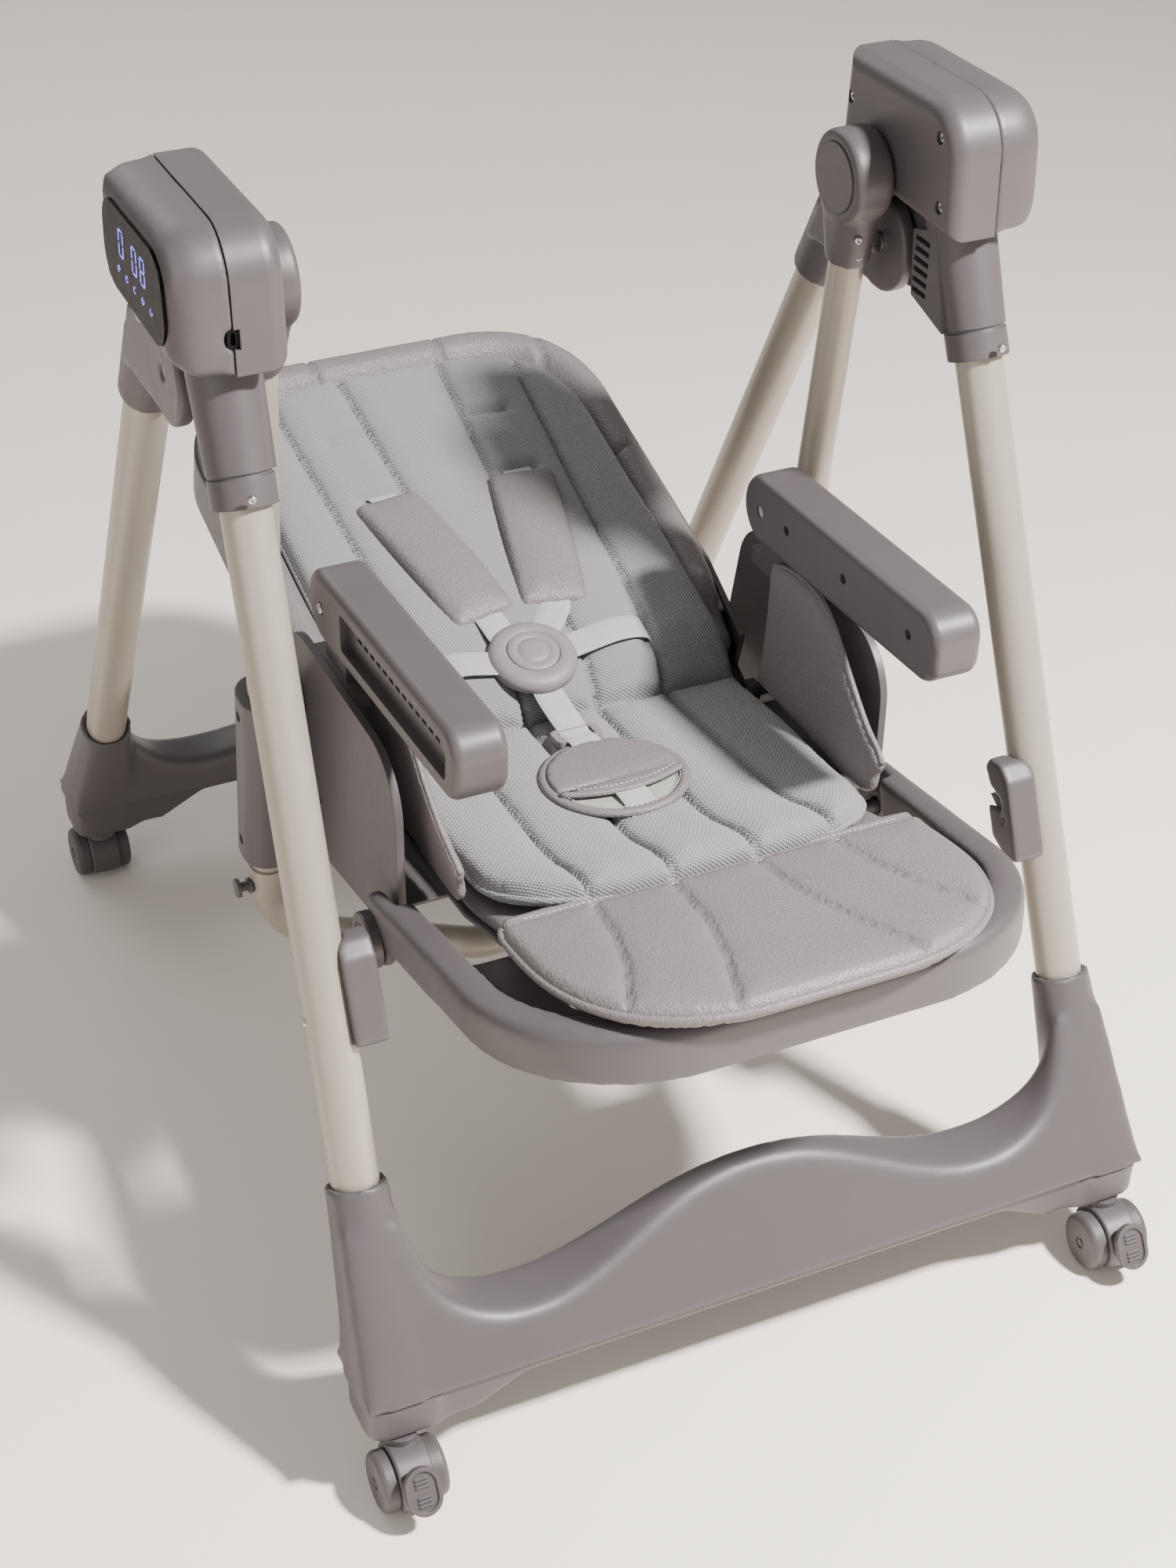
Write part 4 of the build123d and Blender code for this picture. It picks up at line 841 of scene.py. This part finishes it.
for name, line, radius, closed, flat in (
        ("crotch_binding", [crotch_point(*p, 4.2) for p in ellipse], 4.2, True, 0.75),
        ("flap_binding", [crotch_point(x, v, 8.2) for x, v in flap_edge], 3.0, False, 0.8)):
    binding = tube(name, line, radius, "leatherette", closed, 10, flat, PAD_NORMAL)
    place_piece(binding, "seat", "leatherette")
pad_rows = [[crotch_point(*(p * 0.93), 7.0) for p in ellipse],
            [crotch_point(x, v + 4.5, 10.4) for x, v in flap_edge[1:-1]]]
place_piece(stitches("crotch_stitches", pad_rows, "thread", 4.2, 3.0), "seat", "leatherette")

# ------------------------------------------------------------------ buckle
BUCKLE_FOOT = back_point(-12, 36, 61)
body_profile = [(0, 0), (31, 0), (35.4, 3), (36, 7), (35.2, 10.5), (31, 13.6), (22.8, 15.6),
                (22.2, 15.0), (21.6, 15.0), (21.6, 8), (0, 8)]
button_profile = [(0, 10.6), (21.0, 10.6), (21.0, 15.0), (20.4, 15.7), (13.6, 16.4), (13.2, 15.9),
                  (12.8, 15.9), (12.4, 16.5), (6, 16.9), (0, 17.0)]
for name, profile, body, node in (("buckle_shell", body_profile, "back", "buckle_body"),
                                  ("buckle_push", button_profile, "buckle_button", "buckle_button")):
    place_piece(turned(name, profile, BUCKLE_FOOT, BACK_NORMAL, "buckle_plastic", 72), body,
                "buckle_plastic", node)

# ------------------------------------------------------------------ display digits
DIGIT = {"0": "abcdef", "8": "abcdefg"}
BARS = {"a": ((0, 2), (1, 2)), "b": ((1, 2), (1, 1)), "c": ((1, 1), (1, 0)), "d": ((0, 0), (1, 0)),
        "e": ((0, 0), (0, 1)), "f": ((0, 1), (0, 2)), "g": ((0, 1), (1, 1))}
PANEL_X = -320.75       # the display's face
DIGIT_FOOT, DIGIT_WIDE, DIGIT_TALL, BAR = 799, 9, 19, 1.0
ICON_Z, ICON_RADIUS = 787, 2.3


def panel_point(along, high_z, out=0.0):
    """Point on the display: along counts towards the front of the swing."""
    return Vector((PANEL_X - out, -along - (high_z - DIGIT_FOOT) * 0.08, high_z))


def digit(points, faces, shape, at):
    """Adds a seven-bar digit that starts at along = at; each bar is a flat prism with six sides."""
    for name in DIGIT[shape]:
        (ax, az), (bx, bz) = BARS[name]
        a = np.array((at + ax * DIGIT_WIDE, DIGIT_FOOT + az * DIGIT_TALL / 2))
        b = np.array((at + bx * DIGIT_WIDE, DIGIT_FOOT + bz * DIGIT_TALL / 2))
        way = (b - a) / np.linalg.norm(b - a)
        a, b = a + way * BAR * 0.6, b - way * BAR * 0.6
        point, out = way * BAR / 2, np.array((-way[1], way[0])) * BAR / 2
        ring = [a, a + point + out, b - point + out, b, b - point - out, a + point - out]
        start = len(points)
        points += [panel_point(*p, 0.25) for p in ring] + [panel_point(*p, -0.1) for p in ring]
        faces += [tuple(range(start, start + 6)), tuple(range(start + 6, start + 12))]
        faces += [(start + k, start + (k + 1) % 6, start + 6 + (k + 1) % 6, start + 6 + k)
                  for k in range(6)]


digit_points, digit_faces = [], []
for shape, at in (("0", 12), ("0", 42), ("8", 60)):
    digit(digit_points, digit_faces, shape, at)
digits = add_mesh("display_digits", digit_points, digit_faces, "glow")
place_piece(digits, "stand", "display_gloss")
for index, at in enumerate((8, 26, 44, 62, 80)):
    start = 0.5 * index
    sweep = (2 if index % 2 else 1.6) * math.pi * 0.9
    ring = [panel_point(at + ICON_RADIUS * math.cos(a), ICON_Z + ICON_RADIUS * math.sin(a), 0.1)
            for a in np.linspace(start, start + sweep, 18)]
    place_piece(tube(f"display_icon_{index}", ring, 0.28, "glow"), "stand", "display_gloss")

# ------------------------------------------------------------------ screws
def screw(name, centre, axis, body, radius):
    """Domed screw head with a round recess."""
    head = turned(name, [(0, -1), (radius, -1), (radius, 0.6), (radius * 0.8, 1.5), (radius * 0.42, 2.0),
                         (radius * 0.38, 0.9), (0, 0.7)], centre, axis, "steel", 24)
    place_piece(head, body, "steel")


ARM_LEAN = math.radians(8)
ARM_PIVOT = (-14, 768)          # (y, z) of the swing's axis, where the arms start
for side, sign in SIDES:
    outwards = (sign, 0, 0)
    for index, along in enumerate((385, 515)):
        y = ARM_PIVOT[0] + along * math.sin(ARM_LEAN)
        z = ARM_PIVOT[1] - along * math.cos(ARM_LEAN)
        screw(f"sleeve_screw_{side}_{index}", (sign * 247.6, y, z), outwards, "seat", 3.4)
    screw(f"armrest_screw_{side}", (sign * 200.4, -19, 504), outwards, "seat", 4.2)
    screw(f"leg_screw_{side}", (sign * 304.4, -254.7, 330), outwards, "stand", 3.2)
    screw(f"socket_screw_{side}", (sign * 282, -142.5, 676), (sign * 0.1, -1, -0.1), "stand", 3.2)
    screw(f"elbow_screw_{side}_0", (sign * 229, -22.2, 706), (0, -1, 0), "swing", 3.2)
    screw(f"elbow_screw_{side}_1", (sign * 222, -31.5, 724), (0, -1, 0), "swing", 3.2)

# ------------------------------------------------------------------ floor
floor = add_mesh("floor", [(-14000, -9000, 0), (14000, -9000, 0), (14000, 14000, 0),
                           (-14000, 14000, 0)], [(0, 1, 2, 3)], "floor")
